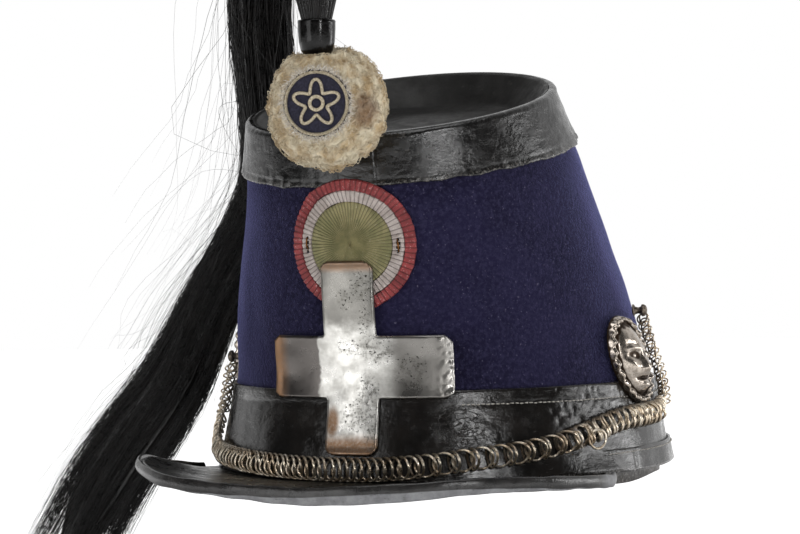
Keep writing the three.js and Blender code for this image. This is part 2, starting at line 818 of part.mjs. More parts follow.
// Oval boss with a roped rim and a lion mask
function boss(angle) {
  const around = 24;
  const back = outerLeather + gap;
  const shares = [0.16, 0.32, 0.48, 0.64, bossRimShare - 0.04, bossRimShare, 0.92, 1];
  const place = (share, step, offset) => {
    const turn = (2 * Math.PI * step) / around;
    const across = (bossWidth / 2) * share * Math.sin(turn);
    const up = (bossHeight / 2) * share * Math.cos(turn);
    return wallPoint(angle, across, bossMiddleHeight + up, back + offset);
  };
  const relief = (share, step) => {
    const turn = (2 * Math.PI * step) / around;
    if (share === 1) return 1.2;
    if (share > bossRimShare) return step % 2 === 0 ? 3.4 : 2.6;
    if (share === bossRimShare) return 2;
    return bossRelief * maskRelief(share * Math.sin(turn), share * Math.cos(turn)) * 0.92;
  };
  const rings = shares.map((share) => {
    const ring = [];
    for (let step = 0; step < around; step += 1) {
      ring.push(place(share, step, relief(share, step)));
    }
    return ring;
  });
  const rim = [];
  for (let step = 0; step < around; step += 1) {
    rim.push(place(1, step, 0));
  }
  return ringedSolid(place(0, 0, bossRelief * maskRelief(0, 0) * 0.92), [...rings, rim], place(0, 0, 0));
}

const chainStandOff = outerLeather + gap + chainDiameter / 2;

// Point of the chain's route, on the wall at its stand-off
function routePoint({ angle, height, off }) {
  return wallPoint(radians(angle), 0, height, chainStandOff * off);
}

function chinChain() {
  const section = new THREE.Shape();
  for (let side = 0; side < chainSides; side += 1) {
    const turn = (2 * Math.PI * side) / chainSides;
    const x = (chainDiameter / 2) * Math.cos(turn);
    const y = (chainDiameter / 2) * Math.sin(turn);
    if (side === 0) {
      section.moveTo(x, y);
    } else {
      section.lineTo(x, y);
    }
  }
  section.closePath();
  const path = new THREE.CatmullRomCurve3(chainRoute.map(routePoint), false, 'centripetal');
  return new THREE.ExtrudeGeometry(section, { steps: chainSteps, extrudePath: path });
}

// Plain stud beyond one end of the chain, standing straight out of the wall
function chainStud(end, next) {
  const onward = end.height - next.height;
  const height = end.height + Math.sign(onward) * (studDiameter / 2 + gap);
  const angle = radians(end.angle);
  const radius = studDiameter / 2;
  const geometry = turned([[0, 0], [radius, 0], [radius, studLength], [0, studLength]], 12);
  const mesh = new THREE.Mesh(geometry);
  mesh.position.copy(wallPoint(angle, 0, height, 2 * gap));
  mesh.quaternion.setFromUnitVectors(vector(0, 1, 0), wallNormal(angle, height));
  return mesh;
}

const kepi = new THREE.Group();

function finish(color, roughness, metalness = 0) {
  return new THREE.MeshStandardMaterial({ color, roughness, metalness });
}

const felt = finish(0x1d2058, 0.95);
const blackLeather = finish(0x17130f, 0.45);
const greyLeather = finish(0x201b18, 0.5);
const silver = finish(0xb9b4a8, 0.35, 0.9);
const steel = finish(0x8a857c, 0.4, 0.9);
const hair = finish(0x14100e, 0.6);

function add(name, geometry, material) {
  const mesh = new THREE.Mesh(geometry, material);
  mesh.name = name;
  kepi.add(mesh);
  return mesh;
}

function addMesh(name, mesh, material) {
  mesh.name = name;
  mesh.material = material;
  kepi.add(mesh);
}

add('crown_body', crownBody(), felt);
add('top_band', topBand(), blackLeather);
add('top_panel', topPanel(), blackLeather);
add('base_band', baseBand(), blackLeather);
add('edge_strip', edgeStrip(), blackLeather);
add('sweatband', sweatband(), greyLeather);
add('peak', peak(), blackLeather);
add('peak_binding', peakBinding(), blackLeather);
add('cross', cross(), silver);
add('cockade_red', cockadeRing(cockadeRadius, cockadeWhiteRadius + gap), finish(0xb5463a, 0.85));
add('cockade_white', cockadeRing(cockadeWhiteRadius, cockadeGreenRadius), finish(0xe8e0d0, 0.85));
add('cockade_green', cockadeCentre(), finish(0x2f6b4a, 0.85));
add('pompom', pompom(), finish(0xd9cdb0, 0.95));

for (const [name, geometry, material] of [
  ['badge_disc', badgeDisc(), finish(0x1b2140, 0.9)],
  ['badge_cord', badgeCord(), finish(0xb49a68, 0.6)],
]) {
  const mesh = add(name, geometry, material);
  mesh.position.copy(pompomMiddle).addScaledVector(badgeDirection, badgeBack);
  mesh.quaternion.setFromUnitVectors(vector(0, 1, 0), badgeDirection);
}

const socket = add('plume_socket', plumeSocket(), finish(0x0b0a0a, 0.2));
socket.position.copy(socketFoot);
socket.rotation.x = Math.PI / 2;

add('plume', plume(), hair);
add('boss_left', boss(radians(bossLeftAngle)), silver);
add('boss_right', boss(radians(-bossRightAngle)), silver);
add('chin_chain', chinChain(), steel);
addMesh('chain_stud_right', chainStud(chainRoute[0], chainRoute[1]), steel);
addMesh('chain_stud_left', chainStud(chainRoute.at(-1), chainRoute.at(-2)), steel);

export default kepi;
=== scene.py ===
"""Kepi with leather bands, a plain cross, a pleated cockade, a wool pompom and a drooping hair plume.

Metres. The front faces -Y, the wearer's left is +X and up is +Z. The origin is the middle of the
head opening, in the plane of the lower rim.
"""

import math

import bpy
import numpy as np
from mathutils import Matrix, Vector


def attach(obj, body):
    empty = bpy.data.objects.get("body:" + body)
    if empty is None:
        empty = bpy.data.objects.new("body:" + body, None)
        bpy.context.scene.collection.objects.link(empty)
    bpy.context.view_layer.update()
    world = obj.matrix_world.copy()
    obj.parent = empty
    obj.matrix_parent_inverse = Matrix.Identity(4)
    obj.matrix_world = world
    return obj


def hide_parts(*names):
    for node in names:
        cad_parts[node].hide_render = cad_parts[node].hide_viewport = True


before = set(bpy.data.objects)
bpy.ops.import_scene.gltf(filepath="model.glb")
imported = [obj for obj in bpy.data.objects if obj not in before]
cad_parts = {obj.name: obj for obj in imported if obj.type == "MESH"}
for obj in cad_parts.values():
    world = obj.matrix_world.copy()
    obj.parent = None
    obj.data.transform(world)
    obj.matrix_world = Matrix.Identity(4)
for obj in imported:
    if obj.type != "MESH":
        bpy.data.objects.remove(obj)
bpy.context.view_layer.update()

# Sizes that the pieces share, as in the CAD
GAP = 0.0003
RIM_LENGTH, RIM_WIDTH = 0.195, 0.177
CROWN_HEIGHT = 0.1437
TOP_LENGTH, TOP_WIDTH = 0.118, 0.121
TOP_FORWARD, TOP_SLOPE, CROWN_LEAN = 0.032, 0.254, 0.0045
FELT = 0.0025
LEATHER = 0.0016
OUTER_LEATHER = GAP + LEATHER
BAND_HEIGHT, TOP_BAND_HEIGHT = 0.033, 0.02
RIM_ROLL = 0.001
RECESS_DEPTH, RECESS_INSET = 0.011, 0.008
STRIP_HEIGHT, STRIP_LEATHER = 0.008, 0.0009
SWEAT_HEIGHT, SWEAT_DROP, SWEAT_LEATHER = 0.031, 0.005, 0.0012
PEAK_SPAN = math.radians(61)
PEAK_WIDTH, PEAK_DEPTH, PEAK_LEATHER, PEAK_RISE = 0.184, 0.1, 0.0026, 0.007
BINDING_HEIGHT, BINDING_WIDTH = 0.0046, 0.0022
CROSS_WIDTH, CROSS_HEIGHT, CROSS_ARM = 0.075, 0.073, 0.0205
CROSS_ASIDE, CROSS_BENT_END = 0.0016, 0.0035
CROSS_BAR, CROSS_BAR_HEIGHT, CROSS_BOTTOM = 0.024, 0.0423, 0.0096
CROSS_CLIP, CROSS_PLATE = 0.0025, 0.0012
COCKADE_RADIUS, COCKADE_WHITE, COCKADE_GREEN = 0.025, 0.0208, 0.0162
COCKADE_MIDDLE = CROWN_HEIGHT - 0.0552
COCKADE_ASIDE, COCKADE_THICKNESS = 0.003, 0.0013
POMPOM_WIDTH, POMPOM_HEIGHT = 0.0436, 0.0466
POMPOM_ASIDE, POMPOM_BELOW_TOP, POMPOM_DIMPLE = 0.0008, 0.0044, 0.0055
POMPOM_TURN = math.radians(15)
BADGE_DIAMETER, BADGE_THICKNESS, BADGE_SETBACK = 0.0246, 0.002, 0.0022
BADGE_CORD = 0.00075
ROSETTE_RADIUS, ROSETTE_WAVE = 0.0064, 0.0022
SOCKET_TOP, SOCKET_FOOT, SOCKET_HEIGHT, SOCKET_DEPTH = 0.014, 0.008, 0.013, 0.009
SOCKET_WALL, SOCKET_ASIDE, SOCKET_SETBACK = 0.001, 0.0005, -0.007
PLUME_ASIDE, PLUME_BACK, PLUME_RISE = 0.192, 0.1206, 0.074
PLUME_TAIL, PLUME_OVER_BOSS = 0.066, 0.0012
PLUME_WIDTH, PLUME_THICKNESS = 0.04, 0.022
BOSS_WIDTH, BOSS_HEIGHT, BOSS_RELIEF = 0.03, 0.0345, 0.009
BOSS_MIDDLE = 0.0416
BOSS_LEFT, BOSS_RIGHT = math.radians(84), math.radians(-86)
CHAIN_DIAMETER = 0.006
STUD_DIAMETER, STUD_LENGTH, STUD_FOOT = 0.005, 0.006, 2 * GAP

# Details that only this scene has
MEAN_RADIUS, RIM_RADIUS = 0.085, 0.088
TOP_BAND_SEAM, STRIP_SEAM = math.radians(13), math.radians(77)
BAND_STITCH_HEIGHT, STRIP_STITCH_HEIGHT = 0.0275, STRIP_HEIGHT - 0.0014
BINDING_DROP = 0.0022
PLEATS, PLEAT_DEPTH = 70, 0.00055
COCKADE_SLOTS = [(math.radians(92), 0.0183), (math.radians(271), 0.0187)]
STAIN_PLACE = np.array([0.02, -0.0085, -0.0027])
HAIR_LOCKS = 22
PLUME_RUN = 0.56

# Chain: degrees from the front over which it opens, closes again and starts to twist, where its loose
# ring hangs, and how near its ends its rings are small
CHAIN_OPENS, CHAIN_CLOSES, CHAIN_TWISTS = (8, 22), (50, 56), (50, 58)
CHAIN_LOOSE_RING = 58.5
CHAIN_RIGHT_END, CHAIN_LEFT_END = 0.022, 97

# Camera, turned in degrees towards the wearer's left, and the floor
CAMERA_TURN = 23.5
CAMERA_PLACE = (0.38321, -0.92616, 0.0903)
CAMERA_HEADING, CAMERA_PITCH, CAMERA_ROLL = 0.4105, -0.0116, -0.0153
CAMERA_LENS = 110.0
FLOOR_HEIGHT = -0.125

# Lamps: name, place, height aimed at, width, height and watts
LAMPS = [
    ("front_box", (-0.6, -1.42, 0.3), 0.06, 0.7, 0.86, 4.2),
    ("side_box", (1.08, 0.78, 0.06), 0.03, 0.36, 0.34, 2.4),
    ("side_strip", (1.1, 0.38, 0.3), 0.05, 0.26, 0.2, 1.2),
    ("left_box", (-1.22, 0.2, 0.2), 0.08, 0.6, 0.6, 0.6),
    ("front_strip", (1.12, -1.1, 0.36), 0.08, 0.13, 0.5, 5.2),
    ("top_box", (0.1, -0.3, 1.2), 0.05, 0.8, 0.6, 3.5),
]

# Height share of the crown, then shares for length, width, forward, tilt and lean
CROWN_ROWS = [
    (0, 0, 0, 0, 0, 0),
    (0.23, 0.15, 0.19, -0.06, 0, 0.3),
    (0.5, 0.4, 0.43, 0.27, 0.33, 0.55),
    (0.77, 0.71, 0.73, 0.65, 0.68, 0.8),
    (1, 1, 1, 1, 1, 1),
]

# Turn as a share of the peak's span, then shares of half its width and of its depth
PEAK_OUTLINE_ROWS = [
    (0, 0, 1), (0.25, 0.31, 0.975), (0.5, 0.6, 0.88), (0.7, 0.83, 0.69),
    (0.85, 0.965, 0.44), (0.95, 1, 0.2), (1, 0.94, 0),
]

# Turn from the wearer's right to the left, then the edge's share of the peak's rise
PEAK_EDGE_ROWS = [
    (-1, -0.05), (-0.85, 1), (-0.5, 0.55), (0, 0.25), (0.3, 0.45), (0.6, 0.7), (0.85, 0.4), (1, -0.03),
]

# Chain route: degrees from the front, height above the rim, share of the stand-off
CHAIN_ROWS = [
    (-73, 0.04, 0.85), (-72.5, 0.032, 1), (-69, 0.0215, 1), (-62, 0.0115, 1), (-50, 0.0072, 1),
    (-38, 0.0059, 1), (-22, 0.005, 1), (-8, 0.0046, 1), (8, 0.0047, 1), (20, 0.0062, 1),
    (30, 0.0081, 1), (40, 0.0096, 1), (50, 0.0118, 1), (60, 0.0152, 1), (68, 0.0183, 1),
    (76, 0.0198, 1), (84, 0.02, 1), (92, 0.0208, 1), (98, 0.0255, 1), (101, 0.034, 0.95),
    (103, 0.043, 0.75), (104.5, 0.057, 0.72),
]

# Plume route from the socket's mouth: shares aside, back, of the rise, of the drop to the boss, of
# the tail, and 1 where the reach aside is counted from the felt
PLUME_ROUTE = [
    (0.01, 0.02, 0.4, 0, 0, 0), (0.06, 0.114, 0.817, 0, 0, 0), (0.175, 0.333, 1, 0, 0, 0),
    (0.303, 0.632, 0.76, 0, 0, 0), (0.388, 0.842, 0.197, 0, 0, 0), (0.071, 0.995, 0, 0.28, 0, 1),
    (0.062, 1.03, 0, 0.53, 0, 1), (0.155, 0.991, 0, 1, 0, 1), (0.643, 0.956, 0, 1, 0.222, 0),
    (0.768, 0.93, 0, 1, 0.476, 0), (0.872, 0.904, 0, 1, 0.722, 0), (0.967, 0.877, 0, 1, 1, 0),
]

# Place along the plume, then shares of its width and thickness
PLUME_ROWS = [
    (0, 0.16, 0.29), (0.045, 0.42, 0.75), (0.12, 0.52, 0.85), (0.25, 0.66, 1), (0.5, 0.66, 0.85),
    (0.65, 0.62, 0.8), (0.75, 0.8, 0.85), (0.84, 0.95, 0.95), (1, 1.12, 0.9),
]

# Layers of hair: name, count, steps, seed, least and most reach, least and most length, thickness, stray
PLUME_LAYERS = [
    ("plume_hair_a", 560, 20, 101, 0.55, 0.86, 0.9, 1.0, 0.0003, 0),
    ("plume_hair_b", 820, 21, 102, 0.78, 1.0, 0.86, 1.0, 0.00021, 0),
    ("plume_hair_c", 820, 21, 103, 0.85, 1.06, 0.74, 1.0, 0.00016, 0),
    ("plume_stray", 400, 24, 104, 0.92, 1.05, 0.6, 1.0, 0.00008, 0.018),
]

# Smudges on the cross: place across and up, half width and half height
CROSS_SMUDGES = [
    (0.006, 0.073, 0.006, 0.007), (-0.001, 0.068, 0.004, 0.005), (0.0065, 0.059, 0.003, 0.008),
    (0.001, 0.05, 0.008, 0.004), (0.022, 0.041, 0.008, 0.008), (0.006, 0.032, 0.006, 0.01),
    (0.003, 0.024, 0.009, 0.007), (0.01, 0.049, 0.008, 0.007), (0.0085, 0.02, 0.004, 0.012),
]

# Stud: shares of its radius and of its length, from its foot out
STUD_PROFILE = [
    (0.02, 0), (1, 0), (1, 0.1), (0.62, 0.2), (0.5, 0.4), (0.62, 0.56), (0.95, 0.62), (1, 0.7),
    (0.93, 0.82), (0.72, 0.92), (0.4, 0.98), (0.02, 1),
]

UP = np.array([0.0, 0.0, 1.0])


# Shapes in numbers

def curve(rows, at):
    """Smooth curve through a table's rows; returns one array per column."""
    rows = np.array(rows, float)
    place, values = rows[:, 0], rows[:, 1:]
    at = np.clip(np.asarray(at, float), place[0], place[-1])
    low = np.clip(np.searchsorted(place, at) - 1, 0, len(place) - 2)
    before, after = np.maximum(low - 1, 0), np.minimum(low + 2, len(place) - 1)
    step = (place[low + 1] - place[low])[..., None]

    def slope(a, b):
        return (values[b] - values[a]) / (place[b] - place[a])[..., None] * step

    t = ((at - place[low])[..., None]) / step
    bend = 3 * t ** 2 - 2 * t ** 3
    result = values[low] * (1 - bend) + values[low + 1] * bend
    result = result + slope(before, low + 1) * (t ** 3 - 2 * t ** 2 + t)
    result = result + slope(low, after) * (t ** 3 - t ** 2)
    return np.moveaxis(result, -1, 0)


def section(level):
    """Half length, half width, middle x and y, slope and height of the crown at a level."""
    length, width, forward, tilt, lean = curve(CROWN_ROWS, level)
    half_length = (RIM_LENGTH + (TOP_LENGTH - RIM_LENGTH) * length) / 2
    half_width = (RIM_WIDTH + (TOP_WIDTH - RIM_WIDTH) * width) / 2
    return (half_length, half_width, -CROWN_LEAN * lean, -TOP_FORWARD * forward,
            TOP_SLOPE * tilt, CROWN_HEIGHT * np.asarray(level, float))


def crown_point(level, angle, offset=0.0, rise=0.0):
    """Point on the crown: angle from the front towards the wearer's left, offset outwards."""
    level, angle, offset, rise = np.broadcast_arrays(level, angle, offset, rise)
    half_length, half_width, middle_x, middle_y, slope, height = section(level)
    y = middle_y - (half_length + offset) * np.cos(angle)
    x = middle_x + (half_width + offset) * np.sin(angle)
    return np.stack([x, y, height + slope * (y - middle_y) + rise], -1)


def level_at(angle, height):
    """Level at which the wall reaches a height at an angle."""
    angle, height = np.broadcast_arrays(np.asarray(angle, float), np.asarray(height, float))
    low, high = np.zeros(angle.shape), np.ones(angle.shape)
    for _ in range(20):
        middle = (low + high) / 2
        below = crown_point(middle, angle)[..., 2] < height
        low, high = np.where(below, middle, low), np.where(below, high, middle)
    return low


def wall_point(angle, across, height, offset):
    """Point on the wall, at a distance sideways from an angle and at a height."""
    half_length, half_width = section(level_at(angle, height))[:2]
    arc = np.hypot(half_width * np.cos(angle), half_length * np.sin(angle))
    turned = angle + across / arc
    return crown_point(level_at(turned, height), turned, offset)


def unit(vectors):
    return vectors / np.maximum(np.linalg.norm(vectors, axis=-1, keepdims=True), 1e-12)


def waves(points, size, seed, count=26):
    """Smooth random field over points, about -1 to 1, with bumps of the given size."""
    rng = np.random.default_rng(seed)
    points = np.asarray(points, float)
    directions = unit(rng.normal(size=(count, points.shape[-1])))
    directions = directions * (2 * np.pi / size) * rng.uniform(0.6, 1.5, (count, 1))
    phases = rng.uniform(0, 2 * np.pi, count)
    total = np.zeros(points.shape[:-1])
    for direction, phase in zip(directions, phases):
        total += np.sin(points @ direction + phase)
    return total / math.sqrt(count)


def ring_waves(angle, radius, size, seed):
    """The same field round a ring."""
    return waves(np.stack([np.cos(angle), np.sin(angle)], -1) * radius, size, seed)


def full_turn(count):
    return np.linspace(0, 2 * np.pi, count, endpoint=False)


def smoothstep(value, low, high):
    t = np.clip((value - low) / (high - low), 0, 1)
    return t * t * (3 - 2 * t)


def bell(value, middle, width):
    """1 at the middle, falling smoothly to 0 on both sides."""
    return np.exp(-((value - middle) / width) ** 2)


def spaced(*stops):
    """Values through the stops: each has a value, or a tuple of them, and its steps to the next."""
    runs = [np.linspace(value, following, steps, endpoint=False)
            for (value, steps), (following, _) in zip(stops[:-1], stops[1:])]
    return np.concatenate([*runs, [stops[-1][0]]])


# Meshes

def grid_faces(rows, columns, wrap_rows=False, wrap_columns=False):
    """Four-sided faces between the points of a grid."""
    row = np.arange(rows if wrap_rows else rows - 1)
    column = np.arange(columns if wrap_columns else columns - 1)
    row, column = np.meshgrid(row, column, indexing="ij")
    after_row, after_column = (row + 1) % rows, (column + 1) % columns
    quads = [row * columns + column, row * columns + after_column,
             after_row * columns + after_column, after_row * columns + column]
    return np.stack(quads, -1).reshape(-1, 4)


def outward(points, faces):
    """The same faces, turned so that they face outwards."""
    points = points.reshape(-1, 3)
    corners = (points - points.mean(0))[faces]
    turned = sum(np.cross(corners[:, k], corners[:, k + 1]) for k in (1, 2))
    return faces[:, ::-1] if np.einsum("ij,ij->i", corners[:, 0], turned).sum() < 0 else faces


def add_shell(name, points, material, slot, *nodes, place=None, wrap_rows=False, wrap_columns=True,
              caps=True):
    """Shown piece from a grid of points that closes round its columns, its rows or both."""
    faces = grid_faces(*points.shape[:2], wrap_rows, wrap_columns)
    ends = (points[0], points[-1]) if wrap_columns else (points[:, 0], points[:, -1])
    extra = [end_cap(end) for end in ends] if caps else ()
    piece = add_piece(name, points, outward(points, faces), material, place, extra)
    show(piece, slot, *nodes)
    return piece


def add_parts(name, parts, material, slot, *nodes, place=None):
    """Shown piece from many pairs of points and faces."""
    points, faces = joined(parts)
    show(add_piece(name, points, faces, material, place), slot, *nodes)


def add_piece(name, points, faces, material, place=None, extra=()):
    """Mesh piece from arrays of points and faces; extra holds more pairs of points and faces."""
    meshes = [(points.reshape(-1, 3), faces)] + [(p.reshape(-1, 3), f) for p, f in extra]
    counts = np.cumsum([0] + [len(p) for p, _ in meshes])
    mesh = bpy.data.meshes.new(name)
    mesh.vertices.add(int(counts[-1]))
    mesh.vertices.foreach_set("co", np.concatenate([p for p, _ in meshes]).astype(np.float32).ravel())
    loops = np.concatenate([(f + base).ravel() for (_, f), base in zip(meshes, counts)])
    sides = np.concatenate([np.full(len(f), f.shape[1]) for _, f in meshes])
    mesh.loops.add(len(loops))
    mesh.loops.foreach_set("vertex_index", loops.astype(np.int32))
    mesh.polygons.add(len(sides))
    starts = np.concatenate([[0], np.cumsum(sides)[:-1]])
    mesh.polygons.foreach_set("loop_start", starts.astype(np.int32))
    mesh.polygons.foreach_set("use_smooth", np.ones(len(sides), bool))
    if place is not None:
        values = np.zeros((counts[-1], 3), np.float32)
        values[:counts[1]] = place.reshape(-1, 3)
        attribute = mesh.attributes.new("place", "FLOAT_VECTOR", "POINT")
        attribute.data.foreach_set("vector", values.ravel())
    mesh.update(calc_edges=True)
    mesh.validate()
    mesh.materials.append(material)
    piece = bpy.data.objects.new(name, mesh)
    bpy.context.scene.collection.objects.link(piece)
    return piece


def show(piece, slot, *nodes):
    """Rides the piece on the body and hides the CAD nodes that it stands for. The slot is not used."""
    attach(piece, "root")
    if nodes:
        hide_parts(*nodes)


def ring_piece(name, node, profile, material, columns, warp, span=None, slot="black_leather"):
    """Closed section swept round the crown. The profile holds level, offset and rise arrays."""
    whole = span is None
    start, end = span or (0, 2 * np.pi)
    angle = np.linspace(start, end, columns, endpoint=not whole)[None, :]
    level, offset, rise = (np.asarray(part, float)[:, None] for part in profile)
    level, offset, rise, angle = np.broadcast_arrays(*warp(level, angle, offset, rise), angle)
    points = crown_point(level, angle, offset, rise)
    place = np.stack([MEAN_RADIUS * angle, level * CROWN_HEIGHT, offset], -1)
    add_shell(name, points, material, slot, node, place=place, wrap_rows=True, wrap_columns=whole,
              caps=not whole)


def end_cap(loop):
    """Fan of faces that closes a loop of points."""
    middle = loop.mean(0, keepdims=True)
    count = len(loop)
    steps = np.arange(count)
    faces = np.stack([np.full(count, count), steps, (steps + 1) % count], -1)
    return np.concatenate([loop, middle]), faces


def carried(tangent, normal):
    """Normals carried along a path without twist, from a first one."""
    normals = np.zeros_like(tangent)
    for step, direction in enumerate(tangent):
        normal = unit(normal - direction * (normal @ direction))
        normals[step] = normal
    return normals


def tube(path, radius, sides=6, closed=False):
    """Points and faces of a tube along a path. The radius is a number or one value per point."""
    path = np.asarray(path, float)
    if closed:
        tangent = unit(np.roll(path, -1, 0) - np.roll(path, 1, 0))
    else:
        tangent = unit(np.gradient(path, axis=0))
    first = UP if abs(tangent[0] @ UP) < 0.8 else np.array([1.0, 0, 0])
    normal = carried(tangent, unit(np.cross(tangent[0], first)))
    across = np.cross(tangent, normal)
    around = (np.arange(sides) * 2 * np.pi / sides)[None, :, None]
    ring = normal[:, None] * np.cos(around) + across[:, None] * np.sin(around)
    points = path[:, None] + ring * np.broadcast_to(radius, (len(path),))[:, None, None]
    return points.reshape(-1, 3), grid_faces(len(path), sides, wrap_rows=closed, wrap_columns=True)


def joined(parts):
    """One array of points and faces from many."""
    points, faces, base = [], [], 0
    for part_points, part_faces in parts:
        points.append(part_points)
        faces.append(part_faces + base)
        base += len(part_points)
    return np.concatenate(points), np.concatenate(faces)


# Materials

class Nodes:
    """A node tree, built from short calls."""

    def __init__(self, tree):
        self.tree = tree

    def node(self, kind, settings=(), **inputs):
        made = self.tree.nodes.new(kind)
        for name, value in dict(settings).items():
            setattr(made, name, value)
        for name, value in inputs.items():
            self.put(made.inputs[name.replace("_", " ")], value)
        return made

    def put(self, socket, value):
        if isinstance(value, bpy.types.NodeSocket):
            self.tree.links.new(value, socket)
        elif socket.type == "RGBA":
            socket.default_value = (*value[:3], 1)
        else:
            socket.default_value = value

    def sum(self, operation, first, second):
        made = self.node("ShaderNodeMath", {"operation": operation})
        self.put(made.inputs[0], first)
        self.put(made.inputs[1], second)
        return made.outputs[0]

    def plus(self, first, second):
        return self.sum("ADD", first, second)

    def minus(self, first, second):
        return self.sum("SUBTRACT", first, second)

    def times(self, first, second):
        return self.sum("MULTIPLY", first, second)

    def most(self, first, second):
        return self.sum("MAXIMUM", first, second)

    def span(self, value, low, high, first=0.0, last=1.0):
        """Goes smoothly from first to last while the value goes from low to high."""
        made = self.node("ShaderNodeMapRange", {"interpolation_type": "SMOOTHSTEP"})
        for name, item in zip(("Value", "From Min", "From Max", "To Min", "To Max"),
                              (value, low, high, first, last)):
            self.put(made.inputs[name], item)
        return made.outputs["Result"]

    def part(self, vector, axis):
        return self.node("ShaderNodeSeparateXYZ", Vector=vector).outputs[axis]

    def distance(self, vector, point=(0, 0, 0)):
        made = self.node("ShaderNodeVectorMath", {"operation": "DISTANCE"})
        self.put(made.inputs[0], vector)
        self.put(made.inputs[1], point)
        return made.outputs["Value"]


class Shade(Nodes):
    """One material, with textures in the piece's own coordinates."""

    def __init__(self, name):
        self.material = bpy.data.materials.new(name)
        self.material.use_nodes = True
        super().__init__(self.material.node_tree)
        self.shader = self.tree.nodes["Principled BSDF"]
        self.object = self.node("ShaderNodeTexCoord").outputs["Object"]

    def place(self):
        return self.node("ShaderNodeAttribute", {"attribute_name": "place"}).outputs["Vector"]

    def stretch(self, vector, scale, shift=(0, 0, 0)):
        made = self.node("ShaderNodeMapping", Vector=vector, Scale=scale, Location=shift)
        return made.outputs["Vector"]

    def noise(self, size, detail=3, rough=0.55, vector=None):
        made = self.node("ShaderNodeTexNoise", Vector=vector or self.object, Scale=1 / size,
                         Detail=detail, Roughness=rough)
        return made.outputs["Fac"]

    def ramp(self, value, *stops):
        made = self.node("ShaderNodeValToRGB", Fac=value)
        for element, (position, grey) in zip(made.color_ramp.elements, stops):
            element.position = position
            element.color = (grey, grey, grey, 1)
        return made.outputs["Color"]

    def mix(self, share, first, second):
        made = self.node("ShaderNodeMix", {"data_type": "RGBA"})
        for socket, value in zip((0, 6, 7), (share, first, second)):
            self.put(made.inputs[socket], value)
        return made.outputs[2]

    def mottled(self, value, dark, light, low=0.35, high=0.7):
        return self.mix(self.span(value, low, high), dark, light)

    def bump(self, height, distance, strength=1.0, normal=None):
        made = self.node("ShaderNodeBump", Height=height, Distance=distance, Strength=strength)
        if normal is not None:
            self.put(made.inputs["Normal"], normal)
        return made.outputs["Normal"]

    def finish(self, **inputs):
        for name, value in inputs.items():
            self.put(self.shader.inputs[name.replace("_", " ")], value)
        return self.material


def felt_material():
    """Dark blue felt with a clouded ground, a paler nap and bits of lint."""
    s = Shade("felt")
    nap = s.noise(0.0016, 4, 0.7)
    base = s.mottled(s.noise(0.035, 3), (0.0085, 0.0074, 0.023), (0.0155, 0.0135, 0.0415), 0.35, 0.68)
    base = s.mix(s.span(nap, 0.38, 0.7, 0, 0.8), base, (0.034, 0.0315, 0.075))
    lint = s.span(s.noise(0.0008, 2, 0.5), 0.68, 0.75)
    base = s.mix(s.times(lint, 0.4), base, (0.26, 0.24, 0.33))
    fibres = s.noise(0.0006, 3, 0.6)
    normal = s.bump(fibres, 0.0004, 0.8, s.bump(nap, 0.0006, 0.6))
    return s.finish(Base_Color=base, Roughness=0.95, Sheen_Weight=1.0, Sheen_Roughness=0.26,
                    Sheen_Tint=(0.43, 0.45, 1.0), Specular_IOR_Level=0.12, Normal=normal)


def leather_material(name, dark, light, rough, wear=0.3, worn=(0.2, 0.19, 0.18), edge=(0.0, 0.001),
                     wrinkle=1.0, crackle=None, gloss=0.6):
    """Glossy leather. It is worn paler between the two heights of edge, and crackled near a spot."""
    s = Shade(name)
    place = s.place()
    tone = s.noise(0.018, 4, 0.6)
    base = s.mottled(tone, dark, light)
    streak = s.noise(0.0022, 5, 0.75, s.stretch(place, (0.35, 1, 1)))
    scuff = s.times(s.span(streak, 0.58, 0.72), s.span(s.noise(0.02, 3), 0.42, 0.6))
    base = s.mix(s.times(scuff, wear), base, worn)
    rubbed = s.times(s.span(s.part(place, "Y"), *edge, 1, 0), s.span(s.noise(0.0011, 4, 0.8), 0.5, 0.62))
    base = s.mix(s.times(rubbed, 0.5), base, tuple(2 * c for c in worn))
    rumple = s.noise(0.0045, 5, 0.7, s.stretch(place, (0.5, 1.15, 1)))
    normal = s.bump(s.noise(0.012, 3, 0.6), 0.0016, 0.5 * wrinkle)
    normal = s.bump(rumple, 0.0009, 0.55 * wrinkle, normal)
    normal = s.bump(s.noise(0.0007, 3, 0.6), 0.00008, 0.6, normal)
    if crackle:
        split = crackle_lines(s, place, tone, crackle)
        base = s.mix(s.times(split, 0.5), base, (0.1, 0.092, 0.085))
        normal = s.bump(s.times(split, -1), 0.0003, 0.8, normal)
    roughness = s.span(s.noise(0.006, 4, 0.7), 0.3, 0.75, rough - 0.1, rough + 0.14)
    roughness = s.plus(roughness, s.times(scuff, 0.2))
    return s.finish(Base_Color=base, Roughness=roughness, Specular_IOR_Level=gloss, Normal=normal)


def crackle_lines(s, place, tone, middle):
    """1 on fine cracks near a middle, given as a place round the crown and a height; 0 elsewhere."""
    away = s.distance(s.stretch(place, (1, 1, 0)), (*middle, 0))
    near = s.span(s.plus(away, s.times(tone, 0.008)), 0.006, 0.016, 1, 0)
    wander = s.node("ShaderNodeTexNoise", Vector=place, Scale=450, Detail=3).outputs["Color"]
    bent = s.node("ShaderNodeVectorMath", {"operation": "MULTIPLY_ADD"})
    terms = (wander, (0.003, 0.003, 0.003), s.stretch(place, (0.75, 1.2, 1)))
    for socket, value in zip(bent.inputs, terms):
        s.put(socket, value)
    cells = s.node("ShaderNodeTexVoronoi", {"feature": "DISTANCE_TO_EDGE"}, Vector=bent.outputs[0],
                   Scale=1 / 0.0026)
    return s.times(s.span(cells.outputs["Distance"], 0.0, 0.06, 1, 0), near)


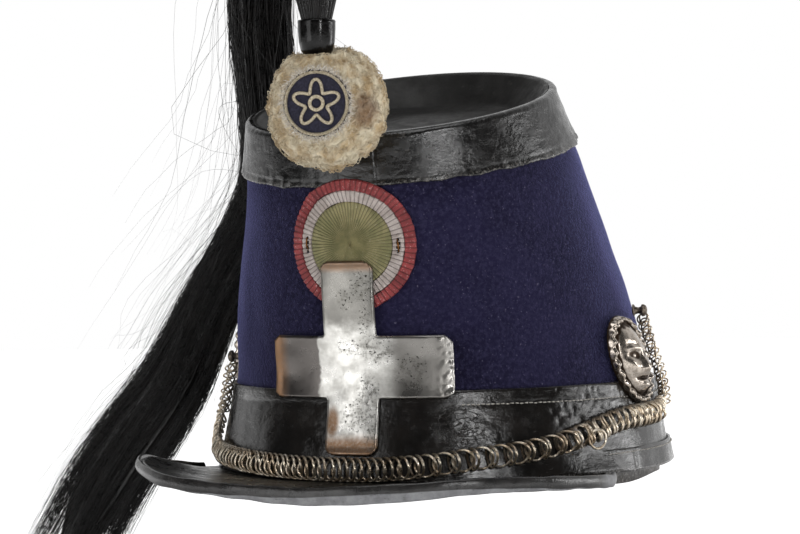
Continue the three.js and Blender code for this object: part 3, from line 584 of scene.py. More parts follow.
def cord_material(name, dark, light, size=0.0006):
    """Thread with a mottle of the given size."""
    s = Shade(name)
    base = s.mottled(s.noise(size, 3, 0.6), dark, light)
    normal = s.bump(s.noise(size / 2, 2), 0.0002, 0.7)
    return s.finish(Base_Color=base, Roughness=0.8, Normal=normal)


FELT_CLOTH = felt_material()
BAND_LEATHER = leather_material("band_leather", (0.006, 0.0052, 0.0047), (0.016, 0.0135, 0.012), 0.2, 0.12,
                                wrinkle=0.6, crackle=(0.041, 0.018))
TOP_LEATHER = leather_material("top_leather", (0.005, 0.0047, 0.0046), (0.012, 0.0112, 0.011), 0.24, 0.3,
                               (0.14, 0.13, 0.12), (0.1243, 0.1262), 0.85)
PANEL_LEATHER = leather_material("panel_leather", (0.02, 0.0195, 0.019), (0.036, 0.035, 0.034), 0.45,
                                 0.15, edge=(-1, -0.999), wrinkle=0.3, gloss=0.16)
PEAK_LEATHER_FACE = leather_material("peak_leather", (0.007, 0.0066, 0.0062), (0.014, 0.013, 0.012), 0.32,
                                     0.2, edge=(-1, -0.999), wrinkle=0.5)


# Camera, light and floor

def add_camera():
    data = bpy.data.cameras.new("camera")
    data.sensor_width = 36
    data.lens = CAMERA_LENS
    data.clip_start = 0.05
    camera = bpy.data.objects.new("camera", data)
    bpy.context.scene.collection.objects.link(camera)
    forward = Vector((-math.sin(CAMERA_HEADING) * math.cos(CAMERA_PITCH),
                      math.cos(CAMERA_HEADING) * math.cos(CAMERA_PITCH), math.sin(CAMERA_PITCH)))
    right = forward.cross(Vector((0, 0, 1))).normalized()
    above = right.cross(forward)
    right, above = (right * math.cos(CAMERA_ROLL) + above * math.sin(CAMERA_ROLL),
                    above * math.cos(CAMERA_ROLL) - right * math.sin(CAMERA_ROLL))
    turn = Matrix((right, above, -forward)).transposed()
    camera.matrix_world = Matrix.Translation(CAMERA_PLACE) @ turn.to_4x4()
    bpy.context.scene.camera = camera


def add_lamps():
    """Soft boxes whose shapes show as highlights on the leather."""
    for name, place, aim, wide, high, watts in LAMPS:
        data = bpy.data.lights.new(name, "AREA")
        data.energy = watts
        data.shape = "RECTANGLE"
        data.size, data.size_y = wide, high
        lamp = bpy.data.objects.new(name, data)
        lamp.location = place
        lamp.rotation_euler = (Vector((0, 0, aim)) - Vector(place)).to_track_quat("-Z", "Y").to_euler()
        bpy.context.scene.collection.objects.link(lamp)


def add_studio():
    """Surroundings that light the hat from behind and stay dark before it, with plain white in view."""
    world = bpy.data.worlds.new("studio")
    bpy.context.scene.world = world
    world.use_nodes = True
    s = Nodes(world.node_tree)
    background = s.tree.nodes["Background"]
    direction = s.node("ShaderNodeTexCoord").outputs["Generated"]
    s.put(background.inputs["Color"], s.span(s.part(direction, "Y"), 0.15, 0.8, 0.05, 0.85))
    backdrop = s.node("ShaderNodeBackground", Color=(1, 1, 1))
    seen = s.node("ShaderNodeLightPath").outputs["Is Camera Ray"]
    chosen = s.node("ShaderNodeMixShader")
    for socket, value in zip(chosen.inputs, (seen, background.outputs[0], backdrop.outputs[0])):
        s.put(socket, value)
    s.put(s.tree.nodes["World Output"].inputs["Surface"], chosen.outputs[0])


def add_floor():
    """Pale floor: plain under the hat, and bright enough further out to end in white."""
    radii = np.array([0.0001, 0.3, 0.6, 0.8, 1.1, 1.5, 4.0])[:, None]
    angle = (np.arange(96) * 2 * np.pi / 96)[None, :]
    points = np.stack([radii * np.cos(angle), radii * np.sin(angle), 0 * radii * angle + FLOOR_HEIGHT], -1)
    s = Shade("studio_floor")
    material = s.finish(Base_Color=s.ramp(s.noise(0.02, 3), (0.3, 0.8), (0.7, 0.84)), Roughness=0.95,
                        Emission_Color=(1.0, 1.0, 1.0),
                        Emission_Strength=s.span(s.distance(s.object), 0.3, 0.75, 0.08, 0.95))
    faces = grid_faces(*points.shape[:2], wrap_columns=True)
    add_piece("studio_floor", points, faces, material)


# Crown and its leather

def felt_crown():
    """Wall of felt, slightly dented where no leather covers it."""
    levels = spaced((0, 18), (0.2, 70), (0.985, 4), (1, 0))
    back = spaced((1, 4), (0.985, 10), (0, 0))
    rise = np.where(np.r_[levels, back] > 0.999, -2 * GAP, 0)
    offset = np.r_[0 * levels, 0 * back - FELT]

    def warp(level, angle, offset, rise):
        spot = crown_point(level, angle)
        dent = waves(spot, 0.07, 3) * 0.0005 + waves(spot, 0.02, 4) * 0.00012
        bare = smoothstep(level, 0.27, 0.36) * (1 - smoothstep(level, 0.8, 0.9))
        return level, offset + dent * bare, rise

    profile = (np.r_[levels, back], offset, rise)
    ring_piece("crown_felt", "crown_body", profile, FELT_CLOTH, 270, warp, slot="felt")


def top_band():
    """Band with a ragged lower edge that curls up here and there, a groove above it and one seam."""
    foot = 1 - TOP_BAND_HEIGHT / CROWN_HEIGHT
    outside = spaced((foot, 30), (1, 0))
    level = np.r_[outside, 1, 1, 1, 1, 1, 1, foot + 0.001]
    offset = np.r_[0 * outside + OUTER_LEATHER, OUTER_LEATHER - 0.0002, OUTER_LEATHER - 0.0008,
                   OUTER_LEATHER - 0.0018, -FELT / 2, -FELT / 2, GAP, GAP]
    rise = np.r_[np.linspace(0, -RIM_ROLL, len(outside)), -0.0002, 0.0006, RIM_ROLL, RIM_ROLL, -GAP,
                 -GAP, 0]

    def warp(level, angle, offset, rise):
        low = 1 - smoothstep(level, foot, foot + 0.04)
        ragged = 0.0007 * ring_waves(angle, 0.08, 0.0025, 8) + 0.0024 * ring_waves(angle, 0.08, 0.02, 9)
        level = level + low * ragged
        spot = crown_point(level, angle)
        dent = waves(spot, 0.03, 11) * 0.00022 + waves(spot * np.array([1, 1, 1.8]), 0.009, 10) * 0.00006
        fold = -0.00016 * bell(waves(spot * np.array([1, 1, 3]), 0.02, 13), 0, 0.1)
        dent = dent + fold * (1 - smoothstep(level, foot + 0.02, foot + 0.08))
        seam = -0.0005 * bell(angle, TOP_BAND_SEAM, 0.007)
        groove = -0.0003 * bell(level, foot + 0.016, 0.004)
        curl = low * np.maximum(ring_waves(angle, 0.08, 0.012, 12), 0) * 0.0005
        outer = offset > OUTER_LEATHER - 0.00005
        return level, offset + outer * (dent + seam + groove + curl), rise

    ring_piece("crown_top_band", "top_band", (level, offset, rise), TOP_LEATHER, 660, warp)


def top_panel():
    """Sunken top: a sagging floor, a sloping wall and a lip over the felt's edge."""
    lip, wall = -FELT / 2 - GAP, -FELT - GAP
    fold = wall - RECESS_INSET
    middle = -TOP_LENGTH / 2 + 0.0006
    under = -RECESS_DEPTH - LEATHER
    offset, rise = spaced(
        ((middle, -RECESS_DEPTH), 18), ((fold - 0.004, -RECESS_DEPTH), 5),
        ((fold, -RECESS_DEPTH + 0.0008), 8), ((wall - RIM_ROLL, -RIM_ROLL), 4), ((wall, RIM_ROLL / 2), 3),
        ((lip, RIM_ROLL), 2), ((lip, -GAP), 2), ((wall, -GAP), 2), ((wall, -RIM_ROLL - GAP), 3),
        ((fold + LEATHER / 2, under), 6), ((middle, under), 0)).T

    def warp(level, angle, offset, rise):
        sag = waves(crown_point(level, angle, offset), 0.035, 14) * 0.0006 * (rise < -RIM_ROLL)
        return level, offset, rise + sag

    ring_piece("crown_top", "top_panel", (1 + 0 * offset, offset, rise), PANEL_LEATHER, 240, warp)


def base_band():
    """Band with a stitched line, creases at its sides and a slight flare at the rim."""
    top = BAND_HEIGHT / CROWN_HEIGHT
    outside = spaced((0, 32), (top, 0))
    level = np.r_[outside, top + 0.003, top + 0.003, top, 0, 0]
    offset = np.r_[0 * outside + OUTER_LEATHER, OUTER_LEATHER - 0.0004, GAP + 0.0003, GAP, GAP,
                   OUTER_LEATHER - 0.0006]

    def warp(level, angle, offset, rise):
        spot = crown_point(level, angle)
        height = level * CROWN_HEIGHT
        seam = -0.0003 * bell(height, BAND_STITCH_HEIGHT, 0.0008) * smoothstep(angle, 0.4, 0.5)
        side = smoothstep(np.abs(np.sin(angle)), 0.72, 0.82)
        crease = -0.0005 * bell(waves(spot * np.array([1, 1, 3.4]), 0.014, 21), 0, 0.14)
        crease = crease * smoothstep(height, 0.012, 0.022) * (0.1 + 0.9 * side)
        swell = waves(spot, 0.045, 22) * 0.0003 + waves(spot, 0.012, 23) * 0.00006
        flare = 0.0006 * bell(height, 0, 0.004) * side
        outer = offset > OUTER_LEATHER - 0.00005
        return level, offset + outer * (seam + crease + swell + flare), rise

    ring_piece("lower_band", "base_band", (level, offset, 0 * level), BAND_LEATHER, 660, warp)


def stitches(name, height, start, end, offset, pitch, width, material):
    """Row of short stitches round the crown, between two angles."""
    count = int(RIM_RADIUS * (end - start) / pitch)
    half = (end - start) / count * 0.36
    parts = []
    rng = np.random.default_rng(31)
    for step in range(count):
        turns = start + (end - start) * (step + 0.5) / count + np.array([-1, -0.6, 0, 0.6, 1]) * half
        level = (height + rng.normal(0, 0.00008)) / CROWN_HEIGHT
        lift = offset + np.array([-0.0002, 0.0001, 0.00022, 0.0001, -0.0002])
        parts.append(tube(crown_point(level, turns, lift), width * np.array([0.5, 0.9, 1, 0.9, 0.5]), 5))
    add_parts(name, parts, material, "black_leather")


def edge_strip():
    """Folded strip that binds the rim from one end of the peak round the back to the other."""
    outside = OUTER_LEATHER + GAP + STRIP_LEATHER
    start = PEAK_SPAN + math.radians(5)
    end = 2 * np.pi - start
    top, low = STRIP_HEIGHT / CROWN_HEIGHT, -GAP - STRIP_LEATHER
    levels = spaced((top, 14), (0, 0))
    level = np.r_[levels, 0, 0, 0, 0, 0, top]
    offset = np.r_[0 * levels + outside, outside - 0.0004, outside - 0.0014, GAP - FELT, GAP - FELT,
                   OUTER_LEATHER + GAP, OUTER_LEATHER + GAP]
    rise = np.r_[np.linspace(0, -0.0004, len(levels)), -0.0009, low, low, -GAP, -GAP, 0]

    def warp(level, angle, offset, rise):
        swell = waves(crown_point(level, angle), 0.02, 41) * 0.00018
        join = -0.0006 * bell(angle, STRIP_SEAM, 0.006)
        full = smoothstep(angle, start, start + 0.16) * (1 - smoothstep(angle, end - 0.16, end))
        thin = (1 - full) * (STRIP_LEATHER + GAP + 0.0003) * (offset > 0)
        outer = offset > outside - 0.00005
        return level, offset + outer * (swell + join) - thin, rise

    ring_piece("rim_strip", "edge_strip", (level, offset, rise), BAND_LEATHER, 380, warp, (start, end))


def sweatband():
    """Inner band that hangs a little below the rim, with an uneven lower edge."""
    outer = -FELT - GAP
    inner = outer - SWEAT_LEATHER
    levels = spaced((0, 6), ((SWEAT_HEIGHT - SWEAT_DROP) / CROWN_HEIGHT, 0))
    level = np.r_[0, levels, levels[::-1], 0]
    offset = np.r_[outer, 0 * levels + outer, 0 * levels + inner, inner]
    rise = np.r_[-SWEAT_DROP, 0 * levels, 0 * levels, -SWEAT_DROP]

    def warp(level, angle, offset, rise):
        return level, offset, rise * (1 + 0.12 * ring_waves(angle, 0.09, 0.05, 44))

    material = leather_material("sweat_leather", (0.02, 0.017, 0.015), (0.05, 0.043, 0.037), 0.45, 0.6)
    ring_piece("inner_band", "sweatband", (level, offset, rise), material, 240, warp)


# Peak

def peak_outline(turn, grow):
    """The peak's edge from the wearer's right to the left, for turns from -1 to 1."""
    turn = np.asarray(turn, float)
    chord = crown_point(0.0, PEAK_SPAN)[1]
    across, forward = curve(PEAK_OUTLINE_ROWS, np.abs(turn))
    rise = curve(PEAK_EDGE_ROWS, turn)[0]
    return np.stack([np.sign(turn) * across * (PEAK_WIDTH / 2 + grow),
                     chord - forward * (PEAK_DEPTH + grow), PEAK_RISE * rise], -1)


def peak():
    """Leather peak, flat at the rim and rising towards its edge, with a pale lining below."""
    turn = np.linspace(-1, 1, 181)[None, :]
    share = np.linspace(0, 1, 37)[:, None]
    inner = crown_point(0.0, turn * PEAK_SPAN, GAP - FELT, -GAP)
    outer = peak_outline(turn, 0)
    upper = inner + (outer - inner) * share[..., None]
    upper[..., 2] = inner[..., 2] + (outer[..., 2] - inner[..., 2]) * share ** 2.5
    upper[..., 2] += smoothstep(share, 0.25, 0.6) * waves(upper[..., :2], 0.05, 51) * 0.0003
    lower = upper - PEAK_LEATHER * UP
    points = np.concatenate([upper, lower[::-1]])
    piece = add_shell("peak_board", points, PEAK_LEATHER_FACE, "black_leather", "peak", place=points,
                      wrap_rows=True, wrap_columns=False)
    s = Shade("peak_lining")
    base = s.mottled(s.noise(0.01, 4, 0.65), (0.10, 0.098, 0.098), (0.17, 0.168, 0.17))
    lining = s.finish(Base_Color=base, Roughness=0.6, Normal=s.bump(s.noise(0.0008, 3), 0.0002, 0.5))
    piece.data.materials.append(lining)
    indices = np.zeros(len(piece.data.polygons), np.int32)
    columns = turn.size - 1
    indices[len(share) * columns:2 * len(share) * columns] = 1
    piece.data.polygons.foreach_set("material_index", indices)


def peak_edge_material():
    """Dark leather above; the pale lining shows under the front of the edge and at its left end."""
    s = Shade("peak_edge")
    turn, around = s.part(s.place(), "X"), s.part(s.place(), "Y")
    tone = s.noise(0.006, 4, 0.65)
    base = s.mottled(tone, (0.012, 0.0112, 0.011), (0.03, 0.028, 0.027))
    aside = s.minus(turn, 0.25)
    limit = s.plus(s.times(s.times(aside, aside), 2.2), 0.15)
    lower = s.minus(s.times(around, -1), limit)
    pale = s.times(s.span(lower, 0.0, 0.1), s.span(around, -1.5, -1.35))
    pale = s.most(pale, s.times(s.span(turn, 0.9, 0.93), 0.75))
    grey = s.mottled(tone, (0.19, 0.19, 0.2), (0.31, 0.315, 0.325))
    split = s.span(s.noise(0.0016, 4, 0.75, s.stretch(s.object, (0.5, 1, 2))), 0.62, 0.68)
    grey = s.mix(s.times(split, 0.7), grey, (0.06, 0.055, 0.055))
    normal = s.bump(s.noise(0.004, 4, 0.65), 0.0005, 0.5)
    return s.finish(Base_Color=s.mix(pale, base, grey), Roughness=s.plus(s.times(pale, 0.3), 0.27),
                    Specular_IOR_Level=0.55, Normal=s.bump(split, -0.0002, 0.6, normal))


def peak_binding():
    """Bead round the peak's edge, deeper under its front."""
    turn = np.linspace(-1, 1, 301)
    around = np.linspace(-np.pi, np.pi, 24, endpoint=False)
    rows = []
    for angle in around:
        point = peak_outline(turn, GAP + BINDING_WIDTH / 2 * (1 + np.cos(angle)))
        point[:, 2] += BINDING_HEIGHT / 2 * math.sin(angle) - PEAK_LEATHER / 2
        point[:, 2] -= max(0.0, -math.sin(angle)) * BINDING_DROP * bell(turn, 0.25, 0.45)
        rows.append(point)
    points = np.array(rows)
    points += unit(points - points.mean(0)) * (waves(points, 0.012, 52) * 0.00015)[..., None]
    place = np.stack(np.broadcast_arrays(turn[None, :], around[:, None], 0.0), -1)
    add_shell("peak_edge_bead", points, peak_edge_material(), "black_leather", "peak_binding",
              place=place, wrap_rows=True, wrap_columns=False)


# Cross

def cross_plate():
    """Cross cut from sheet, with clipped corners, a bevelled edge, curled ends and shallow dents."""
    half, arm = CROSS_WIDTH / 2, CROSS_ARM / 2
    bent, top = CROSS_BENT_END - half, CROSS_BOTTOM + CROSS_HEIGHT
    low, high = CROSS_BAR_HEIGHT - CROSS_BAR / 2, CROSS_BAR_HEIGHT + CROSS_BAR / 2
    columns = np.unique(spaced((bent, 42), (-arm, 34), (arm, 44), (half, 0)))
    rows = np.unique(spaced((CROSS_BOTTOM, 33), (low, 38), (high, 45), (top, 0)))
    across, height = np.meshgrid(columns, rows, indexing="ij")
    upright = np.abs(across) <= arm + 1e-6
    bar = (height >= low - 1e-6) & (height <= high + 1e-6)
    inside = upright | bar
    corners = [(x, z, 0.8, 1) for x in (bent, half) for z in (low, high)]
    corners += [(x, z, 1, 0.8) for x in (-arm, arm) for z in (CROSS_BOTTOM, top)]
    for x, z, wide, tall in corners:
        inside &= np.abs(across - x) / (CROSS_CLIP * wide) + np.abs(height - z) / (CROSS_CLIP * tall) >= 1
    far = 9.0
    edge = np.minimum.reduce([
        np.where(bar & ~upright, np.minimum(height - low, high - height), far),
        np.where(upright & ~bar, arm - np.abs(across), far),
        np.where(bar, np.minimum(across - bent, half - across), far),
        np.where(upright, np.minimum(height - CROSS_BOTTOM, top - height), far),
    ])
    near = np.clip(edge / 0.0006, 0, 1)
    bevel = np.sqrt(near * (2 - near))
    curl = 0.0009 * (1 - smoothstep(across, bent, bent + 0.004))
    curl = curl + 0.0006 * smoothstep(height, top - 0.003, top)
    curl = curl + 0.0007 * (1 - smoothstep(height, CROSS_BOTTOM, CROSS_BOTTOM + 0.0035))
    spot = np.stack([across, height, 0 * across], -1)
    end = smoothstep(across, half - 0.007, half - 0.002)
    dent = waves(spot, 0.016, 61) * 0.00018 + end * np.abs(waves(spot, 0.005, 62)) * 0.0005
    back = OUTER_LEATHER + 2 * GAP
    thick = CROSS_PLATE * (0.45 + 0.55 * bevel)
    front = wall_point(0, CROSS_ASIDE + across, height, back + thick + curl + dent)
    rear = wall_point(0, CROSS_ASIDE + across, height, back + curl * 0.6)
    count = across.size
    index = np.arange(count).reshape(across.shape)
    full = inside[:-1, :-1] & inside[1:, :-1] & inside[1:, 1:] & inside[:-1, 1:]
    quads = np.stack([index[:-1, :-1], index[1:, :-1], index[1:, 1:], index[:-1, 1:]], -1)[full]
    edges = {(a, b): True for a, b in zip(quads.ravel(), np.roll(quads, -1, 1).ravel())}
    rim = [(b, a, a + count, b + count) for a, b in edges if (b, a) not in edges]
    faces = np.concatenate([quads, quads[:, ::-1] + count, np.array(rim)])
    points = np.concatenate([front.reshape(-1, 3), rear.reshape(-1, 3)])
    place = np.concatenate([spot.reshape(-1, 3)] * 2)
    used = np.unique(faces)
    renumber = np.full(2 * count, -1)
    renumber[used] = np.arange(len(used))
    faces = outward(points[used], renumber[faces])
    piece = add_piece("front_cross", points[used], faces, cross_material(bent, top), place[used])
    show(piece, "tarnished_silver", "cross")


def cross_material(bent, top):
    """White metal with brown ends, pits in clusters and smudges where the polish is gone. Its arms and top
    are darkened and the end at the wearer's left is lightened as painted reflection.
    """
    s = Shade("cross_metal")
    place = s.place()
    across, height = s.part(place, "X"), s.part(place, "Y")
    cloud = s.noise(0.009, 5, 0.65, place)
    fine = s.noise(0.0011, 5, 0.75, place)

    def spot(x, z, wide, high):
        near = s.stretch(place, (1 / wide, 1 / high, 0), (-x / wide, -z / high, 0))
        return s.span(s.distance(near), 0.35, 1, 1, 0)

    base = s.mottled(cloud, (0.64, 0.63, 0.6), (0.46, 0.45, 0.42), 0.38, 0.66)
    shift = s.times(s.minus(cloud, 0.5), 0.006)
    aside, above = s.plus(across, shift), s.plus(height, shift)
    # Painted reflection: the arms and the top are darkened and the end at the wearer's left is lightened.
    painted_reflection_zones = [(aside, -0.0134, -0.0122, 1, 0, (0.15, 0.138, 0.13)),
             (aside, 0.012, 0.019, 0, 1, (0.24, 0.23, 0.215)),
             (above, 0.054, 0.062, 0, 1, (0.21, 0.203, 0.187)),
             (across, 0.0345, 0.036, 0, 0.7, (0.6, 0.58, 0.55))]
    for value, low, high, first, last, colour in painted_reflection_zones:
        base = s.mix(s.span(value, low, high, first, last), base, colour)
    ends = s.most(s.span(across, bent + 0.0015, bent + 0.008, 1, 0),
                  s.most(s.span(height, CROSS_BOTTOM + 0.004, CROSS_BOTTOM + 0.009, 1, 0),
                         s.span(height, top - 0.005, top - 0.002, 0, 0.75)))
    side = spot(-0.0075, 0.0215, 0.0035, 0.008)
    brown = s.times(s.most(ends, side), s.span(fine, 0.25, 0.6, 0.6, 0.97))
    base = s.mix(brown, base, (0.27, 0.155, 0.085))
    smudges = spot(*CROSS_SMUDGES[0])
    for smudge in CROSS_SMUDGES[1:]:
        smudges = s.most(smudges, spot(*smudge))
    stain = s.times(smudges, s.span(s.noise(0.0026, 5, 0.75, place), 0.46, 0.62))
    base = s.mix(s.times(stain, 0.75), base, (0.12, 0.115, 0.1))
    pit = s.times(s.span(s.noise(0.0009, 3, 0.6, place), 0.6, 0.68), s.span(smudges, 0.02, 0.4))
    pit = s.most(pit, s.span(s.noise(0.0013, 2, 0.6, place), 0.74, 0.78))
    base = s.mix(pit, base, (0.02, 0.018, 0.015))
    rough = s.plus(s.span(cloud, 0.35, 0.7, 0.26, 0.4), s.times(brown, 0.14))
    brushed = s.noise(0.0004, 2, 0.5, s.stretch(place, (0.12, 1, 1)))
    normal = s.bump(brushed, 0.00002, 0.5, s.bump(cloud, 0.0004, 0.4))
    normal = s.bump(pit, -0.0002, 0.8, s.bump(fine, 0.00006, 0.5, normal))
    return s.finish(Base_Color=base, Metallic=1.0, Roughness=rough, Normal=normal)


# Cockade

BAND_FOOT = float(crown_point(1 - TOP_BAND_HEIGHT / CROWN_HEIGHT, 0.0)[2])


def cockade_point(radius, angle, lift):
    """Point on the cockade, which lies on the felt and climbs on to the top band."""
    height = COCKADE_MIDDLE + radius * np.cos(angle)
    climb = smoothstep(height, BAND_FOOT - 0.008, BAND_FOOT - 0.001) * OUTER_LEATHER
    return wall_point(0, COCKADE_ASIDE + radius * np.sin(angle), height, GAP + climb + lift)


def pleat_height(radius, angle):
    """Height of the knife pleats: each rises slowly and falls back sharply."""
    turn = angle / (2 * np.pi) * PLEATS + 0.16 * np.sin(3 * angle) + 0.1 * np.sin(7 * angle + 1)
    share = turn % 1.0
    saw = np.where(share < 0.82, share / 0.82, (1 - share) / 0.18)
    return PLEAT_DEPTH * (saw - 0.5) * np.clip(radius / 0.006, 0.15, 1)


def cloth_material(name, dark, light, worn, wear):
    """Pleated cloth: darkened in its folds with painted shade, scratched and chipped paler on its crests.
    """
    s = Shade(name)
    place = s.place()
    base = s.mottled(s.noise(0.006, 4, 0.65), dark, light, 0.35, 0.68)
    crest = s.span(s.part(place, "Z"), 0.1, 0.5)
    scratch = s.span(s.noise(0.0012, 4, 0.75), 0.54, 0.66)
    chips = s.times(s.span(s.noise(0.0008, 4, 0.75), 0.6, 0.67), s.span(s.noise(0.006, 2), 0.47, 0.56))
    base = s.mix(s.times(s.times(crest, scratch), wear), base, worn)
    base = s.mix(s.times(chips, 1.5 * wear), base, worn)
    weave = s.node("ShaderNodeTexWave", {"bands_direction": "X"}, Vector=s.stretch(place, (1, 1, 0)),
                   Scale=620, Distortion=1.5, Detail=2).outputs["Fac"]
    base = s.mix(s.times(weave, 0.16), base, dark)
    # Painted shade in the pleats' troughs.
    base = s.mix(s.span(s.part(place, "Z"), -0.5, -0.15, 0.85, 0), base, tuple(0.2 * c for c in dark))
    normal = s.bump(weave, 0.00012, 0.6, s.bump(s.noise(0.0009, 3), 0.0002, 0.5))
    return s.finish(Base_Color=base, Roughness=0.62, Normal=normal)


def cockade_part(name, node, slot, outer, inner, thickness, material, holes=()):
    """Pleated ring between two radii, with worn slots at the holes' angles and radii."""
    rim = 0.0004
    angle = full_turn(PLEATS * 10)[None, :]
    radius = spaced((outer, 3), (outer - rim, 10), (inner, 0))[:, None]
    share = np.clip((outer - radius) / rim, 0, 1)
    fold = pleat_height(radius, angle)
    lift = thickness * (0.35 + 0.65 * np.sqrt(share)) + fold
    for hole_angle, hole_radius in holes:
        distance = np.hypot((angle - hole_angle) * radius / 0.0038, (radius - hole_radius) / 0.0013)
        spot = np.stack(np.broadcast_arrays(angle, 30 * radius), -1)
        distance = distance + 0.22 * waves(spot, 0.09, 72)
        lift = lift - (thickness - 0.0002) * (1 - smoothstep(distance, 0.75, 1.0))
    ragged = ring_waves(angle, 1, 0.15, 71) * 0.0002
    front = cockade_point(radius - ragged * (1 - share), angle, lift)
    ends = np.array([[inner], [outer]])
    points = np.concatenate([front, cockade_point(ends, angle, 0 * angle)])
    crest = np.concatenate([fold / PLEAT_DEPTH, 0 * ends * angle])
    around = angle / (2 * np.pi) * 0.12
    place = np.stack(np.broadcast_arrays(np.concatenate([radius, ends]), around, crest), -1)
    add_shell(name, points, material, slot, node, place=place, wrap_rows=True, caps=False)


def cockade():
    """Three pleated rings, and two worn slots in the middle one with a wire across each and a dark patch
    of painted shadow in each.
    """
    red = cloth_material("cockade_red_cloth", (0.19, 0.028, 0.031), (0.37, 0.055, 0.056),
                         (0.7, 0.52, 0.5), 0.6)
    white = cloth_material("cockade_white_cloth", (0.4, 0.34, 0.31), (0.62, 0.55, 0.52),
                           (0.8, 0.77, 0.74), 0.6)
    green = cloth_material("cockade_green_cloth", (0.22, 0.21, 0.095), (0.36, 0.32, 0.16),
                           (0.6, 0.55, 0.43), 0.5)
    cockade_part("cockade_outer", "cockade_red", "red_cloth", COCKADE_RADIUS, COCKADE_WHITE + 0.0001,
                 COCKADE_THICKNESS, red)
    cockade_part("cockade_middle", "cockade_white", "white_cloth", COCKADE_WHITE, COCKADE_GREEN + 0.0001,
                 COCKADE_THICKNESS - 0.0002, white, COCKADE_SLOTS)
    cockade_part("cockade_inner", "cockade_green", "green_cloth", COCKADE_GREEN, 0.0002,
                 COCKADE_THICKNESS, green)
    s = Shade("wire_metal")
    tone = s.mottled(s.noise(0.002, 4), (0.3, 0.12, 0.03), (0.1, 0.05, 0.02), 0.35, 0.65)
    brass = s.finish(Base_Color=tone, Metallic=1.0, Roughness=0.45,
                     Normal=s.bump(s.noise(0.0004, 2), 0.0001, 0.5))
    s = Shade("slot_shadow")
    tone = s.mix(s.noise(0.001, 2), (0.004, 0.003, 0.003), (0.012, 0.01, 0.008))
    dark = s.finish(Base_Color=tone, Roughness=0.9)
    run = np.linspace(-1, 1, 13)
    turn = full_turn(24)
    reach = np.linspace(0.02, 1, 5)[:, None]
    wires, slot_shadow_patches = [], []
    for angle, radius in COCKADE_SLOTS:
        path = cockade_point(radius + 0.0003 * run, angle + run * 0.13, 0.0009 - 0.0008 * run ** 2)
        wires.append(tube(path, 0.0003, 6))
        # Dark patch in each slot: painted shadow of the hole.
        patch = cockade_point(radius + 0.0008 * reach * np.cos(turn), angle + 0.17 * reach * np.sin(turn),
                              0.00032)
        slot_shadow_patches.append((patch.reshape(-1, 3), grid_faces(*patch.shape[:2], wrap_columns=True)))
    add_parts("cockade_wires", wires, brass, "tarnished_silver")
    add_parts("cockade_slot_shadows", slot_shadow_patches, dark, "white_cloth")


# Pompom, badge, socket

POMPOM_DROP = TOP_SLOPE * (TOP_LENGTH / 2 + OUTER_LEATHER) - POMPOM_BELOW_TOP
POMPOM_AT_EDGE = POMPOM_WIDTH / 2 * math.sqrt(1 - (2 * POMPOM_DROP / POMPOM_HEIGHT) ** 2)
POMPOM_STAND = OUTER_LEATHER + GAP + POMPOM_AT_EDGE
POMPOM_ANGLE = math.asin((POMPOM_ASIDE + CROWN_LEAN) / (TOP_WIDTH / 2 + POMPOM_STAND))
POMPOM_MIDDLE = crown_point(1.0, POMPOM_ANGLE, POMPOM_STAND)
POMPOM_MIDDLE[2] = CROWN_HEIGHT - POMPOM_BELOW_TOP
BADGE_OUT = np.array([math.sin(POMPOM_TURN), -math.cos(POMPOM_TURN), 0])
BADGE_SIDE = np.array([math.cos(POMPOM_TURN), math.sin(POMPOM_TURN), 0])
BADGE_BACK = POMPOM_WIDTH / 2 - BADGE_SETBACK
SOCKET_BASE = POMPOM_MIDDLE + np.array([-SOCKET_ASIDE, SOCKET_SETBACK,
                                        POMPOM_HEIGHT / 2 - POMPOM_DIMPLE + GAP])
SOCKET_MOUTH = SOCKET_BASE + np.array([0, 0, SOCKET_HEIGHT])


def pompom_surface(directions):
    """Point of the pompom's lumpy surface in each direction from its middle."""
    lump = waves(directions, 0.9, 81) * 0.022 + waves(directions, 0.33, 82) * 0.022
    lump = lump + waves(directions, 0.12, 83) * 0.014 - np.abs(waves(directions, 0.2, 84)) * 0.03
    size = 0.99 + np.minimum(lump, 0.03)
    point = directions * size[..., None] * np.array([POMPOM_WIDTH, POMPOM_WIDTH, POMPOM_HEIGHT]) / 2
    ahead = point @ BADGE_OUT
    over = np.maximum(ahead - (BADGE_BACK - GAP), 0)
    point = point - over[..., None] * BADGE_OUT
    near = np.hypot(point[..., 0] + SOCKET_ASIDE, point[..., 1] - SOCKET_SETBACK) / SOCKET_TOP
    low = POMPOM_HEIGHT / 2 - POMPOM_DIMPLE * (1.25 - near ** 2)
    dip = (point[..., 2] > 0) & (near < 1)
    point[..., 2] = np.where(dip, np.minimum(point[..., 2], low), point[..., 2])
    return point + POMPOM_MIDDLE


def wool_material():
    """Cream wool with a brown stain on its left side."""
    s = Shade("cream_wool")
    fine = s.noise(0.0011, 5, 0.75)
    tone = s.noise(0.008, 4, 0.6)
    base = s.mottled(tone, (0.56, 0.41, 0.22), (0.78, 0.69, 0.51), 0.36, 0.62)
    base = s.mix(s.span(fine, 0.55, 0.75, 0, 0.7), base, (0.95, 0.89, 0.76))
    base = s.mix(s.span(fine, 0.25, 0.42, 0.6, 0), base, (0.3, 0.2, 0.11))
    away = s.distance(s.object, tuple(POMPOM_MIDDLE + STAIN_PLACE))
    stain = s.span(s.plus(away, s.times(tone, 0.006)), 0.006, 0.0125, 1, 0)
    base = s.mix(s.times(stain, 0.75), base, (0.2, 0.1, 0.045))
    normal = s.bump(fine, 0.0007, 0.8, s.bump(tone, 0.001, 0.5))
    return s.finish(Base_Color=base, Roughness=0.95, Sheen_Weight=0.2, Sheen_Roughness=0.6, Normal=normal)


